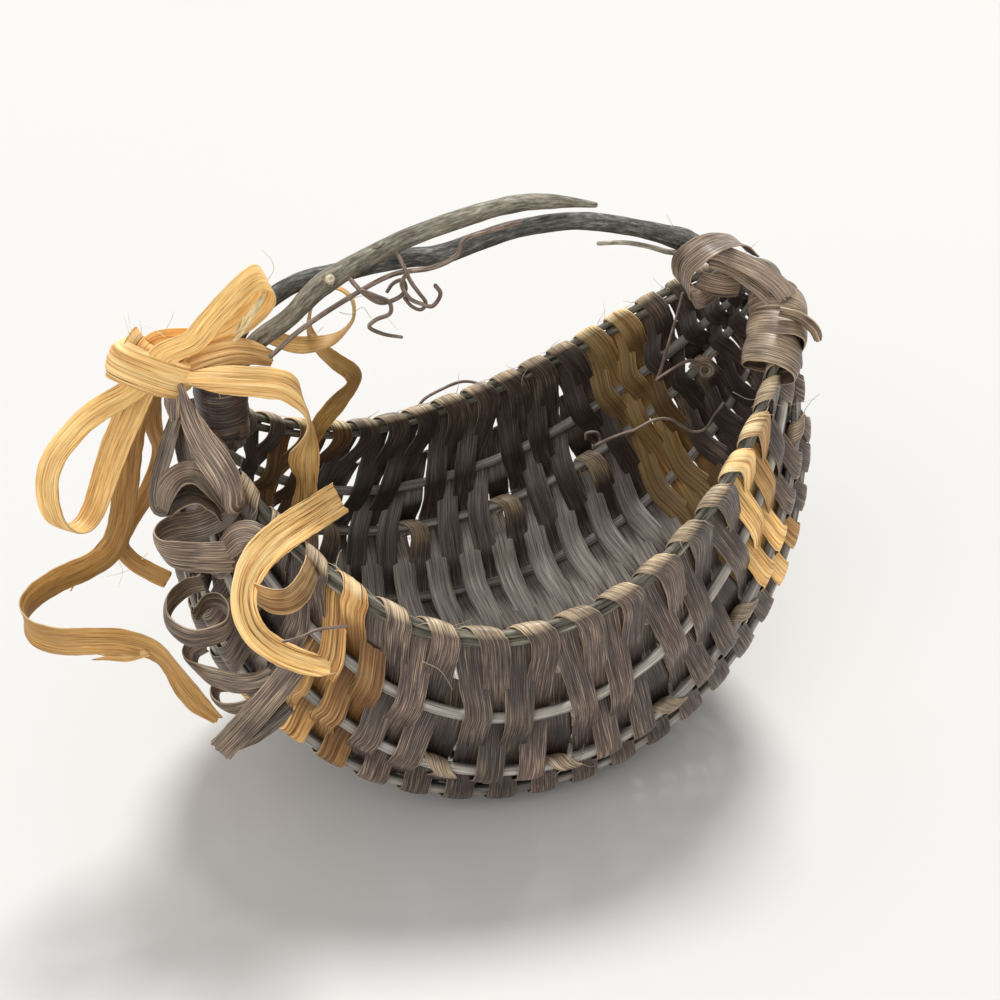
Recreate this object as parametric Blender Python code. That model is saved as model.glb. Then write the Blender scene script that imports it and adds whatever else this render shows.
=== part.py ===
"""Gathering basket: dyed flat reed woven over round ribs on a two-strand rim, with a vine handle."""
import math

import bmesh
import bpy
import numpy as np

for old in list(bpy.data.objects):
    bpy.data.objects.remove(old, do_unlink=True)

# Driving dimensions, in millimetres. X runs along the basket, Y to its far side, Z up.
# The underside of the lowest strips lies on z = 0.
MM = 0.001
HALF_LENGTH = 132.0  # rim, middle to either end
HALF_WIDTH = 99.5  # rim, middle to either side
RIM_LOW = 125.0  # height of the rim at the middle of a side
END_LEFT = 188.5  # height of the rim at its ends
END_RIGHT = 226.5
RIM_RISE = 2.2  # how late the rim rises to its ends
RIM_SKEW = 30.0  # lifts the rim on the right of the middle
PLAN_ROUND = 1.12
SIDE_ROUND = 0.573  # 1 is an ellipse, less is squarer
KEEL_ROUND = 1.27
BULGE = 0.57  # how far the ribs bow out past the ends of the rim
FLAT = 3.9  # height of the rib centres over the flat of the base

STRAND_R = 1.9  # each of the two rim strands
STRAND_APART = 2.15  # half the distance between them
RIB_R = 2.5
RIB_TIP_R = 1.35
RIB_TAPER = 50.0
REED = 1.0  # thickness of flat reed
REED_WIDE = 11.2
AIR = 0.4  # gap left between pieces that touch
EDGE_GAP = 1.2  # gap left between neighbouring rows
TAIL = 6.0  # loose end of a reed below its last turn over the rim
ONE_STATION = math.radians(15)  # a reed that bends more than this over a rib gets a flat there

RIB_ANGLES = (0.0, 10.0, 29.0, 55.0, 78.5, 90.0, 102.0, 133.0, 160.0, 171.5, 180.0)
RIB_NAMES = (
    None,
    "rib_near_upper",
    "rib_near_middle",
    "rib_near_lower",
    "rib_near_base",
    "rib_keel",
    "rib_far_base",
    "rib_far_lower",
    "rib_far_middle",
    "rib_far_upper",
    None,
)
NEAR, FAR = 0, 10
FIRST_SET = (0, 1, 2, 5, 8, 9, 10)  # ribs that reach the ends; the rest start further in
RIB_START, LATE_START = 0.20, 0.43
ROW_START = 0.285
ROWS = 37
END_ROWS = 3  # rows at either end that cross only the first set of ribs
SHORT_ROWS = (4, 12, 16, 20, 24, 32)  # rows that turn back round a rib on their way
TURN_FAR, TURN_NEAR = 8, 2
# Row number and distance along the rim from its left end, for the near and the far side.
NEAR_PLAN = ((0.0, 27.0), (7.5, 101.0), (25.5, 282.0), (36.0, 377.0))
FAR_PLAN = ((0.0, 30.0), (8.5, 134.0), (26.5, 285.0), (36.0, 377.0))

BROWN, ORANGE, RIB, RIM, VINE_GREY, VINE_BROWN, TWIG = (
    "brown_reed",
    "orange_reed",
    "rib_reed",
    "rim_strand",
    "vine_grey",
    "vine_brown",
    "tendril",
)
COLOURS = {
    BROWN: (0.145, 0.095, 0.085),
    ORANGE: (0.62, 0.29, 0.085),
    RIB: (0.30, 0.26, 0.22),
    RIM: (0.16, 0.145, 0.115),
    VINE_GREY: (0.135, 0.13, 0.135),
    VINE_BROWN: (0.20, 0.17, 0.13),
    TWIG: (0.17, 0.12, 0.09),
}
MATERIALS = {}
for label, colour in COLOURS.items():
    material = bpy.data.materials.new(label)
    material.use_nodes = True
    shader = material.node_tree.nodes["Principled BSDF"]
    shader.inputs["Base Color"].default_value = (*colour, 1.0)
    shader.inputs["Roughness"].default_value = 0.7
    MATERIALS[label] = material


def unit(v):
    v = np.asarray(v, float)
    return v / np.maximum(np.linalg.norm(v, axis=-1, keepdims=True), 1e-12)


def arc_length(points):
    steps = np.linalg.norm(np.diff(points, axis=0), axis=1)
    return np.concatenate([[0.0], np.cumsum(steps)])


def flow(points, count):
    """A smooth curve through hand-set points, resampled at equal steps."""
    p = np.asarray(points, float)
    p = np.vstack([2 * p[0] - p[1], p, 2 * p[-1] - p[-2]])
    u = np.linspace(0, 1, 24, endpoint=False)[:, None]
    runs = []
    for a, b, c, d in zip(p, p[1:], p[2:], p[3:]):
        cubic = (3 * b - a - 3 * c + d) * u**3
        runs.append(0.5 * (2 * b + (c - a) * u + (2 * a - 5 * b + 4 * c - d) * u**2 + cubic))
    dense = np.vstack([*runs, p[-2:-1]])
    s = arc_length(dense)
    where = np.linspace(0, s[-1], count)
    return np.stack([np.interp(where, s, dense[:, k]) for k in range(3)], axis=1)


def add_object(name, verts, faces, label, smooth):
    mesh = bpy.data.meshes.new(name)
    mesh.from_pydata([tuple(v * MM) for v in verts], [], faces)
    work = bmesh.new()
    work.from_mesh(mesh)
    bmesh.ops.recalc_face_normals(work, faces=work.faces)
    work.to_mesh(mesh)
    work.free()
    for face in mesh.polygons:
        face.use_smooth = smooth
    mesh.materials.append(MATERIALS[label])
    obj = bpy.data.objects.new(name, mesh)
    bpy.context.scene.collection.objects.link(obj)
    return obj


def twisted(corners):
    """Whether four corners are clearly out of one plane."""
    a, b, c, d = (np.asarray(v) for v in corners)
    return abs(unit(np.cross(c - a, d - b)) @ (b - a)) > 0.03


def lofted(name, rings, label, closed=False, smooth=False):
    """Joins equal rings of points into one closed body."""
    count, sides = len(rings), len(rings[0])
    verts = [p for ring in rings for p in ring]
    faces = []
    for i in range(count if closed else count - 1):
        a, b = i * sides, ((i + 1) % count) * sides
        for k in range(sides):
            n = (k + 1) % sides
            p, q, r, s = a + k, a + n, b + n, b + k
            if sides == 4 and k % 2 == 0 and twisted([verts[m] for m in (p, q, r, s)]):
                # both broad sides of a twisted reed are split along the same diagonal
                faces += [(p, q, r), (p, r, s)] if k == 0 else [(p, q, s), (q, r, s)]
            else:
                faces.append((p, q, r, s))
    if not closed:
        faces.append(tuple(range(sides))[::-1])
        faces.append(tuple(range((count - 1) * sides, count * sides)))
    return add_object(name, verts, faces, label, smooth)


def directions(points, closed=False):
    p = np.asarray(points, float)
    if closed:
        return unit(np.roll(p, -1, axis=0) - np.roll(p, 1, axis=0))
    ahead = np.vstack([p[1:], p[-1:]]) - p
    behind = p - np.vstack([p[:1], p[:-1]])
    return unit(unit(ahead) + unit(behind))


def strip(name, points, across, widths, label, closed=False, thick=REED, floor=None, square=True):
    """A flat reed: four corners at each point, broad along across. A square one is cut square to
    its path; the others keep across, which lays them flat on what they cross."""
    p = np.asarray(points, float)
    run = directions(p, closed)
    side = unit(np.broadcast_to(np.asarray(across, float), p.shape))
    if square:
        side = unit(side - (side * run).sum(1, keepdims=True) * run)
    face = unit(np.cross(run, side))
    half = np.broadcast_to(np.asarray(widths, float), len(p))[:, None] / 2
    # Where the path bends sharply its corner is moved out, so that the reed keeps its thickness.
    if closed:
        turn = (unit(np.roll(p, -1, axis=0) - p) * run).sum(1, keepdims=True)
    else:
        turn = (unit(np.vstack([p[1:], p[-1:] + run[-1]]) - p) * run).sum(1, keepdims=True)
    rise = thick / 2 / np.clip(turn, 0.6, 1.0)
    rings = np.stack(
        [
            p + side * half + face * rise,
            p - side * half + face * rise,
            p - side * half - face * rise,
            p + side * half - face * rise,
        ],
        axis=1,
    )
    if floor is not None:
        rings[..., 2] = np.maximum(rings[..., 2], floor)
    return lofted(name, rings, label, closed)


def round_rod(name, points, radii, label, sides=6, closed=False):
    p = np.asarray(points, float)
    run = directions(p, closed)
    radii = np.broadcast_to(np.asarray(radii, float), len(p))
    side = np.cross(run[0], (0.0, 0.0, 1.0) if abs(run[0][2]) < 0.9 else (0.0, 1.0, 0.0))
    rings = []
    for point, ahead, r in zip(p, run, radii):
        side = unit(side - side @ ahead * ahead)
        other = np.cross(ahead, side)
        angle = [2 * math.pi * k / sides for k in range(sides)]
        rings.append([point + r * (math.cos(a) * side + math.sin(a) * other) for a in angle])
    if not closed:
        # a blunt rounded tip at each end
        for at, outward in ((0, -run[0]), (-1, run[-1])):
            ring = [p[at] + outward * radii[at] * 0.7 + (q - p[at]) * 0.5 for q in rings[at]]
            rings.insert(0, ring) if at == 0 else rings.append(ring)
    return lofted(name, rings, label, closed, smooth=True)


def body_surface(t, phi):
    """A point of the basket's shape. t runs from the left end to the right, phi from the near
    rim under the base to the far rim."""
    t, phi = np.broadcast_arrays(np.asarray(t, float), np.asarray(phi, float))
    st, ct = np.maximum(np.sin(t), 0), -np.cos(t)
    c, s = np.cos(phi), np.maximum(np.sin(phi), 0)
    end = END_LEFT + (END_RIGHT - END_LEFT) * (ct + 1) / 2
    rim = RIM_LOW + (end - RIM_LOW) * np.abs(ct) ** RIM_RISE + RIM_SKEW * ct * (1 - ct * ct)
    keel = end * (1 - st**KEEL_ROUND) + FLAT - 5.5
    x = HALF_LENGTH * ct * (1 + BULGE * s * st)
    y = -HALF_WIDTH * st**PLAN_ROUND * np.sign(c) * np.abs(c) ** SIDE_ROUND
    # the lowest ribs are pressed flat, with a short run-out at the edge of the flat
    rise = rim - (rim - keel) * s**SIDE_ROUND - FLAT
    rise = np.where(rise < 1, np.maximum(rise + 1, 0) ** 2 / 4, rise)
    return np.stack([x, y, FLAT + rise], axis=-1)


class Curve:
    """A line that can be read by distance along it."""

    def __init__(self, points):
        self.points = np.asarray(points, float)
        self.s = arc_length(self.points)
        self.run = directions(self.points)

    def at(self, s):
        return np.array([np.interp(s, self.s, self.points[:, k]) for k in range(3)])

    def along(self, s):
        return unit([np.interp(s, self.s, self.run[:, k]) for k in range(3)])


def make_lines():
    lines, times = [], []
    for j, angle in enumerate(RIB_ANGLES):
        start = 0.0 if j in (NEAR, FAR) else RIB_START if j in FIRST_SET else LATE_START
        t = np.linspace(start, math.pi - start, 700)
        lines.append(Curve(body_surface(t, math.radians(angle))))
        times.append(t)
    return lines, times


LINES, TIMES = make_lines()


def bending(line):
    """How sharply a line curves, per millimetre, along its length."""
    step = np.maximum(np.gradient(line.s), 1e-9)[:, None]
    return np.linalg.norm(np.gradient(line.run, axis=0) / step, axis=1)


def stations_for(line, tolerance):
    """Distances along a line at which straight steps stay within tolerance of it."""
    need = np.sqrt(np.maximum(bending(line), 1 / 900.0) / (8 * tolerance))
    total = np.concatenate([[0.0], np.cumsum((need[1:] + need[:-1]) / 2 * np.diff(line.s))])
    return np.interp(np.linspace(0, total[-1], math.ceil(total[-1]) + 1), total, line.s)


BENDING = [bending(line) for line in LINES]


def hollow(j, s):
    """How far a line bows away from a straight reed laid across its inner side."""
    return min(0.6, float(np.interp(s, LINES[j].s, BENDING[j])) * REED_WIDE**2 / 8)


def rib_radius(j, s):
    near_end = np.minimum(s, LINES[j].s[-1] - s)
    return RIB_TIP_R + (RIB_R - RIB_TIP_R) * np.clip(near_end / RIB_TAPER, 0, 1)


def rim_frame(j, s):
    """Point, direction along, direction up and direction outward on one side of the rim."""
    run = LINES[j].along(s)
    up = unit(np.array([0, 0, 1.0]) - run[2] * run)
    out = np.cross(up, run) * (-1 if j == NEAR else 1)
    return LINES[j].at(s), run, up, out


# Rim: two strands, one above the other, each a closed hoop.
HOOP_STEPS = stations_for(LINES[NEAR], 0.14)
for name, lift in (("rim_strand_upper", STRAND_APART), ("rim_strand_lower", -STRAND_APART)):
    hoop = []
    for j, steps in ((NEAR, HOOP_STEPS[1:]), (FAR, HOOP_STEPS[:0:-1])):
        middles = (steps[1:] + steps[:-1]) / 2
        for s in middles:
            point, _, up, _ = rim_frame(j, s)
            hoop.append(point + up * lift)
    round_rod(name, hoop, STRAND_R, RIM, sides=6, closed=True)

# Ribs: round reed, pointed at both ends.
for j, name in enumerate(RIB_NAMES):
    if name:
        s = stations_for(LINES[j], 0.14)
        centre = np.array([LINES[j].at(v) for v in s])
        round_rod(name, centre, rib_radius(j, s), RIB, sides=6)


# Weaving. A pass is one trip of a reed between the near and the far side.
class Pass:
    def __init__(self, row, first, last, away):
        self.row = row
        ribs = FIRST_SET if row < END_ROWS or row >= ROWS - END_ROWS else range(11)
        self.ribs = [j for j in ribs if min(first, last) <= j <= max(first, last)]
        # away passes go from the near side to the far side, outside the rims
        self.away = away
        place = {j: k for k, j in enumerate(ribs)}
        self.side = {j: (1 if place[j] % 2 == 0 else -1) * (1 if away else -1) for j in self.ribs}
        self.s = {}


PASSES = []
for row in range(ROWS):
    if row in SHORT_ROWS:
        PASSES.append(Pass(row, NEAR, TURN_FAR, True))
        PASSES.append(Pass(row, TURN_FAR, TURN_NEAR, False))
        PASSES.append(Pass(row, TURN_NEAR, FAR, True))
    else:
        PASSES.append(Pass(row, NEAR, FAR, row % 2 == 0))


def planned(plan, row):
    return float(np.interp(row, [a for a, _ in plan], [b for _, b in plan]))


def place_passes():
    for j in (1, 2, 5, 8, 9, 3, 4, 6, 7):
        crossing = [p for p in PASSES if j in p.ribs]
        line, t = LINES[j], TIMES[j]
        if j in FIRST_SET:
            ends = [np.interp(v, t, line.s) for v in (ROW_START, math.pi - ROW_START)]
        else:
            low = max(k for k in FIRST_SET if k < j)
            high = min(k for k in FIRST_SET if k > j)
            ends = []
            for p in (crossing[0], crossing[-1]):
                a, b = (np.interp(p.s[k], LINES[k].s, TIMES[k]) for k in (low, high))
                ends.append(np.interp(a + (b - a) * (j - low) / (high - low), t, line.s))
        for k, p in enumerate(crossing):
            share = k / (len(crossing) - 1)
            if j in (1, 9):
                plan = NEAR_PLAN if j == 1 else FAR_PLAN
                rim = (planned(plan, p.row) - plan[0][1]) / (plan[-1][1] - plan[0][1])
                share = (share + rim) / 2
            p.s[j] = ends[0] + (ends[1] - ends[0]) * share
    for p in PASSES:
        if NEAR in p.ribs:
            p.s[NEAR] = planned(NEAR_PLAN, p.row)
        if FAR in p.ribs:
            p.s[FAR] = planned(FAR_PLAN, p.row)


place_passes()


def base_point(p, j):
    if j in (NEAR, FAR):
        point, _, up, _ = rim_frame(j, p.s[j])
        return point - up * (STRAND_APART + 1.5)
    return LINES[j].at(p.s[j])


for p in PASSES:
    p.base = {j: base_point(p, j) for j in p.ribs}
    p.frame = {}
    for k, j in enumerate(p.ribs):
        run = LINES[j].along(p.s[j])
        low, high = p.ribs[max(k - 1, 0)], p.ribs[min(k + 1, len(p.ribs) - 1)]
        ahead = unit(p.base[high] - p.base[low])
        if p.base[j][2] < FLAT + 0.05:
            ahead = unit(ahead * (1, 1, 0))
            run = unit(run * (1, 1, 0))
        out = unit(np.cross(ahead, run))
        p.frame[j] = (run, unit(np.cross(run, out)), out)

# Distance to the neighbouring rows halfway between two ribs sets how wide a reed can be there.
MIDDLE = {}
for p in PASSES:
    for low, high in zip(p.ribs, p.ribs[1:]):
        MIDDLE.setdefault((low, high), []).append(p)


def middle_width(p, low, high):
    beside = MIDDLE[(low, high)]
    k = beside.index(p)
    here = (p.base[low] + p.base[high]) / 2
    run = unit(p.base[high] - p.base[low])
    side = unit(p.frame[low][0] + p.frame[high][0])
    slant = run @ side
    room = REED_WIDE + EDGE_GAP
    for other in beside[max(k - 1, 0) : k] + beside[k + 1 : k + 2]:
        step = (other.base[low] + other.base[high]) / 2 - here
        room = min(room, abs(float(step @ side - step @ run * slant)) / (1 - slant**2))
    return max(room - EDGE_GAP, 4.0)


def crossing_stations(p, j, order):
    """The reed passing one rib, outside or inside it."""
    run, ahead, out = p.frame[j]
    side = p.side[j]
    clear = float(rib_radius(j, p.s[j])) + AIR + REED / 2
    if side < 0:
        clear += hollow(j, p.s[j])
    k = p.ribs.index(j)
    steps = [(p.base[p.ribs[n]] - p.base[j]) / 2 for n in (k - 1, k + 1) if 0 <= n < len(p.ribs)]
    # the steepest slope of the reed as it leaves the rib
    slope = max(math.atan2(clear - side * (v @ out), np.linalg.norm(v)) for v in steps)
    if p.base[j][2] < FLAT + 0.02:
        point = np.array(p.base[j])
        point[2] = REED / 2 if side > 0 else FLAT + clear
        return [(point + ahead * 3.6 * way, run, REED_WIDE) for way in (-order, order)]
    if slope < ONE_STATION:
        return [(p.base[j] + out * side * clear / math.cos(slope), run, REED_WIDE)]
    point = p.base[j] + out * side * (clear + 0.1)
    reach = min(2.4, 0.3 * min(np.linalg.norm(v) for v in steps))
    return [(point + ahead * reach * way, run, REED_WIDE) for way in (-order, order)]


def rim_wrap(j, s_from, s_to, side_from):
    """The reed turning over both rim strands, from one side of the rim to the other."""
    stations = []
    for turn, lift, share in (
        (180, -STRAND_APART * 2 - 1.5, 0.0),
        (180, 0, 0.12),
        (120, 0, 0.36),
        (60, 0, 0.64),
        (0, 0, 0.88),
        (0, -STRAND_APART * 2 - 1.5, 1.0),
    ):
        point, run, up, out = rim_frame(j, s_from + (s_to - s_from) * share)
        radius = STRAND_R + AIR + REED / 2 + 0.45
        angle = math.radians(turn)
        rise = up * (STRAND_APART + lift + radius * math.sin(angle))
        stations.append((point + rise - out * side_from * radius * math.cos(angle), run, REED_WIDE))
    return stations


def rib_turn(first, second, j, toward):
    """The reed turning back round a single rib between two short rows."""
    stations = []
    radius = RIB_R + AIR + REED / 2 + 0.25
    for turn, share in ((90, 0.0), (42, 0.3), (0, 0.5), (-42, 0.7), (-90, 1.0)):
        angle = math.radians(turn)
        s = first.s[j] + (second.s[j] - first.s[j]) * share
        run, ahead, out = (unit(a * (1 - share) + b * share) for a, b in zip(first.frame[j], second.frame[j]))
        point = LINES[j].at(s) + out * radius * math.sin(angle) * first.side[j]
        stations.append((point + ahead * toward * radius * math.cos(angle), run, REED_WIDE - 1.6))
    return stations


def woven(name, passes, label, wrap_before=False, wrap_after=True):
    """One reed, through all its passes and the turns between them."""
    line = []
    index = {id(p): k for k, p in enumerate(PASSES)}
    for n, p in enumerate(passes):
        order = 1 if p.away else -1
        ribs = p.ribs[::order]
        last = n == len(passes) - 1
        for m, j in enumerate(ribs):
            start, end = m == 0, m == len(ribs) - 1
            if j in (NEAR, FAR):
                if start and n == 0 and wrap_before:
                    line += rim_wrap(j, PASSES[index[id(p)] - 1].s[j], p.s[j], -p.side[j])
                if end and (not last or wrap_after):
                    after = PASSES[index[id(p)] + 1] if index[id(p)] + 1 < len(PASSES) else None
                    s_to = after.s[j] if after else p.s[j] + 9.0
                    line += rim_wrap(j, p.s[j], s_to, p.side[j])
                    if last:
                        # the tail of the reed, down the other side of the rim
                        point, run, up, out = rim_frame(j, s_to)
                        drop = TAIL if after and after.ribs[1 if j == NEAR else -2] in (1, 9) else 0
                        if drop:
                            point = point - up * (STRAND_APART + 1.5 + drop) - out * 2.4 * p.side[j]
                            line.append((point, run, REED_WIDE - 2))
            elif (start and n) or (end and not last):
                if end:
                    line += rib_turn(p, passes[n + 1], j, order)
            else:
                line += crossing_stations(p, j, order)
            if not end:
                low, high = sorted((j, ribs[m + 1]))
                wide = middle_width(p, low, high)
                middle = (p.base[low] + p.base[high]) / 2
                side = unit(p.frame[low][0] + p.frame[high][0])
                line.append((middle, side, wide))
    points, across, widths = zip(*line)
    return strip(name, np.array(points), np.array(across), np.array(widths), label, floor=0.0, square=False)


WEAVERS = (
    ("weaver_left_end", 0, 6, BROWN),
    ("weaver_left_band", 6, 10, ORANGE),
    ("weaver_body_1", 10, 14, BROWN),
    ("weaver_body_2", 14, 18, BROWN),
    ("weaver_body_3", 18, 22, BROWN),
    ("weaver_body_4", 22, 26, BROWN),
    ("weaver_right_band", 26, 30, ORANGE),
    ("weaver_right_end_1", 30, 34, BROWN),
    ("weaver_right_end_2", 34, 37, BROWN),
)
for name, first, stop, label in WEAVERS:
    mine = [p for p in PASSES if first <= p.row < stop]
    # the first body reed takes the turn over the rim where the left band ends
    woven(name, mine, label, name == "weaver_body_1", name != "weaver_left_band")


# Lashings: flat reed wound round the left end of the rim, beside the feet of the vines.
def wound(name, j, s_from, s_to, turns, wide):
    """A reed wound round both strands of the rim, from one distance along it to another."""
    steps = int(turns * 8)
    points, across = [], []
    for k in range(steps + 1):
        share = k / steps
        point, run, up, out = rim_frame(j, s_from + (s_to - s_from) * share)
        angle = 2 * math.pi * turns * share + 0.6
        points.append(point + out * WIND_DEEP * math.cos(angle) + up * WIND_TALL * math.sin(angle))
        across.append(run)
    return strip(name, np.array(points), np.array(across), wide, BROWN, square=False)


WIND_DEEP, WIND_TALL = 3.9, 6.4
wound("lashing_left_near", NEAR, 7.0, 19.4, 1.45, 6.6)
wound("lashing_left_far", FAR, 7.0, 19.4, 1.45, 6.6)


def ribbon(name, points, across, wide, label, count, thick=REED * 0.9):
    """A free flat reed through hand-set points; across is given once or for each of them."""
    p = flow(points, count)
    hand = np.asarray(points, float)
    across = unit(np.broadcast_to(np.asarray(across, float), hand.shape))
    own = arc_length(hand) / arc_length(hand)[-1]
    here = arc_length(p) / arc_length(p)[-1]
    asked = np.stack([np.interp(here, own, across[:, k]) for k in range(3)], axis=1)
    # The band follows the direction asked for, less so where that runs along its path.
    run = directions(p)
    side = [unit(asked[0] - asked[0] @ run[0] * run[0])]
    for want, ahead in zip(asked[1:], run[1:]):
        kept = unit(side[-1] - side[-1] @ ahead * ahead)
        flat = want - want @ ahead * ahead
        flat = flat if flat @ kept > 0 else -flat
        side.append(unit(kept * 0.4 + flat * np.linalg.norm(flat)))
    side = np.array(side)
    # A reed gathers to a narrower band where it turns edgewise.
    step = arc_length(p)[1]
    edgewise = np.abs((np.gradient(run, step, axis=0) * side).sum(1))
    room = np.minimum(wide, 1.3 / np.maximum(edgewise, 1e-6))
    padded = np.concatenate([room[:1], room, room[-1:]])
    room = np.minimum(room, np.minimum(padded[:-2], padded[2:]) + 0.35 * step)
    return strip(name, p, side, room, label, thick=thick)


def stem(name, points, radii, label, count, sides=6):
    """A round stem through hand-set points, its thickness changing evenly through radii."""
    p = flow(points, count)
    radii = np.atleast_1d(radii)
    spread = np.interp(np.linspace(0, 1, count), np.linspace(0, 1, len(radii)), radii)
    return round_rod(name, p, spread, label, sides=sides)


# Handle: two vines laid over one another, and a dry shoot beside them.
VINE_R = 4.0
def inside_rim(s, inward=8.4):
    """A point beside the near side of the rim, on its inner side."""
    point, _, up, out = rim_frame(NEAR, s)
    return point - out * inward + up


GREY_PATH = (
    (-119, 4.7, 181), (-119.5, 4.7, 193), (-119.5, 4.7, 206), (-117.5, 5, 217), (-111, 6, 230),
    (-100, 7, 239), (-85, 8, 246), (-65, 9, 248), (-41, 8, 251), (-24, 5, 252), (-7, 3, 257),
    (11, 2, 261), (37, 0, 262), (66, 0, 255), (89, 0, 246), (103, 0, 237), (112, -2, 230),
    *(tuple(inside_rim(s)) for s in (386, 376, 366, 357)),
)
BROWN_PATH = (
    (-119, -4.7, 181), (-119.5, -4.7, 193), (-119.3, -4.7, 206), (-116, -5, 216), (-107, -5, 227),
    (-92, -4, 236), (-75, -2, 249), (-43, 0, 262), (-12, 0, 270), (10, 0, 273), (28, -1, 272),
    (43, -4, 270),
)
stem("handle_vine_grey", GREY_PATH, (3.8, VINE_R, VINE_R, VINE_R, 3.9, 3.8, 3.2), VINE_GREY, 30, 7)
stem("handle_vine_brown", BROWN_PATH, (3.8, VINE_R, VINE_R, VINE_R, 3.4, 1.4), VINE_BROWN, 22, 7)
SHOOT_PATH = ((43, -8, 254), (55, -8, 253), (66, -8, 250), (76, -8, 246))
stem("handle_twig", SHOOT_PATH, (1.0, 1.3), VINE_BROWN, 6, 5)

# Tendrils: wiry shoots of the vine.
for name, radii, count, points in (
    (
        "tendril_handle", 1.1, 20,
        [(8, -8, 268), (-6, -9, 266), (-17, -10, 264), (-21, -10, 257), (-32, -10, 253),
         (-49, -10, 252), (-69, -11, 244), (-89, -13, 234), (-103, -16, 225)],
    ),
    (
        "tendril_curl_1", 0.9, 12,
        [(-42, -14, 255), (-46, -15, 250), (-43, -15, 243), (-38, -16, 240), (-33, -15, 238),
         (-29, -13, 242), (-31, -12, 246)],
    ),
    (
        "tendril_curl_2", (0.9, 0.9, 0.7), 14,
        [(-63, -15, 249), (-57, -16, 246), (-52, -17, 243), (-52, -17, 238), (-58, -17, 236),
         (-61, -17, 233), (-55, -17, 229), (-47, -16, 226)],
    ),
    (
        "tendril_inside_coil", 0.8, 30,
        [(106, 38, 203), (104, 38, 193), (101, 38, 180), (97, 38, 163), (95, 38, 157), (96, 37, 159),
         (102, 36, 163), (111, 35, 167), (120, 34, 167), (124, 33, 162), (122, 32, 156), (117, 32, 156),
         (115, 31, 161), (118, 31, 165)],
    ),
    (
        "tendril_inside_long", 0.8, 26,
        [(56, 32, 133), (56, 31, 137), (61, 30, 137), (63, 30, 132), (59, 29, 129), (60, 27, 132),
         (71, 26, 136), (79, 24, 139), (88, 22, 144), (96, 20, 144), (106, 18, 137), (112, 14, 139),
         (115, 10, 149), (117, 6, 157)],
    ),
    (
        "tendril_far_rim", 0.8, 10,
        [(-8, 112, 124), (3, 112, 129), (15, 112, 132), (25, 111, 129), (31, 110, 122), (33, 110, 115)],
    ),
    ("tendril_near_rim", 0.8, 6, [(-121, -116, 155), (-107, -109, 152), (-94, -103, 147)]),
):
    stem(name, points, radii, TWIG, count, 5)

# Bow: one band closed into a ring round its own loops and tails, at the foot of the handle.
KNOT = np.array((-151.0, -14.0, 226.0))
KNOT_LONG, KNOT_DEEP = unit((0.857, 0.0, -0.515)), unit((-0.29, -0.95, 0.1))
KNOT_HOLE = unit(np.cross(KNOT_LONG, KNOT_DEEP))


def in_knot(along, front, through):
    """A point inside the ring; front counts toward the viewer, through down and to the left."""
    return tuple(KNOT + KNOT_LONG * along + KNOT_DEEP * front + KNOT_HOLE * through)


ring = []
for k in range(16):
    turn = 2 * math.pi * k / 16
    ring.append(KNOT + KNOT_LONG * 17.5 * math.cos(turn) + KNOT_DEEP * 8.8 * math.sin(turn))
strip("bow_knot", np.array(ring), KNOT_HOLE, 15.0, ORANGE, closed=True)
ribbon(
    "bow_loop_upper",
    [in_knot(2, 5.4, 5), in_knot(2, 5.4, -9), (-133, -22, 241), (-120, -24, 254), (-110, -22, 263),
     (-103, -17, 265), (-101, -12, 260), (-105, -11, 251), (-112, -12, 244), (-120, -13, 240),
     (-129, -13, 238),
     in_knot(-3, -1.4, -11), in_knot(-3, -1.4, 3)],
    (-0.68, 0.0, 0.73), 13.0, ORANGE, 22,
)
ribbon(
    "bow_loop_lower",
    [in_knot(-1, 3.5, -4), in_knot(-1.5, 3.5, 6), (-163, -18.5, 218), (-173, -21.5, 215), (-183, -25, 210),
     (-194, -29, 200), (-199, -31, 187), (-198, -30, 171), (-191, -24, 162), (-183, -17, 165),
     (-171, -14, 190), in_knot(0, 0.8, 12), in_knot(0, 0.8, 1)],
    [(0.86, 0, -0.51), (0.8, 0, -0.6), (0.55, -0.2, -0.8), (0.45, -0.45, -0.75), (0.6, -0.55, -0.6),
     (0.8, -0.4, -0.4), (0.9, -0.35, -0.2), (0.8, -0.5, -0.3), (0.7, -0.6, -0.35), (0.75, -0.55, -0.35),
     (0.85, -0.4, -0.3), (0.86, -0.1, -0.5), (0.86, 0, -0.51)],
    11.5, ORANGE, 38,
)
LEVEL = (0.16, 0.5, 0.85)
ribbon(
    "bow_tail_long",
    [in_knot(2, -3.2, 1), in_knot(2, -3.2, 12), (-162, -7, 195), (-168, -5, 168), (-173, -6, 149),
     (-179, -10, 140), (-189, -17, 138), (-201, -26, 140), (-211, -38, 142), (-214, -50, 142),
     (-211, -60, 138), (-200, -67, 137), (-186, -71, 139), (-175, -73, 135), (-165, -75, 127),
     (-159, -76, 114), (-155, -77, 99), (-153, -77, 88)],
    [(0.86, 0, -0.51), (0.86, 0, -0.51), (0.95, -0.3, 0), (0.9, -0.2, 0.3), (0.75, 0.1, 0.6),
     (0.4, 0.35, 0.8), LEVEL, LEVEL, LEVEL, LEVEL, LEVEL, LEVEL, LEVEL, (0.3, 0.5, 0.8),
     (0.7, 0.3, 0.6), (0.9, 0.1, 0.35), (0.92, 0, 0.3), (0.92, 0, 0.3)],
    10.5, ORANGE, 34,
)
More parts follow.
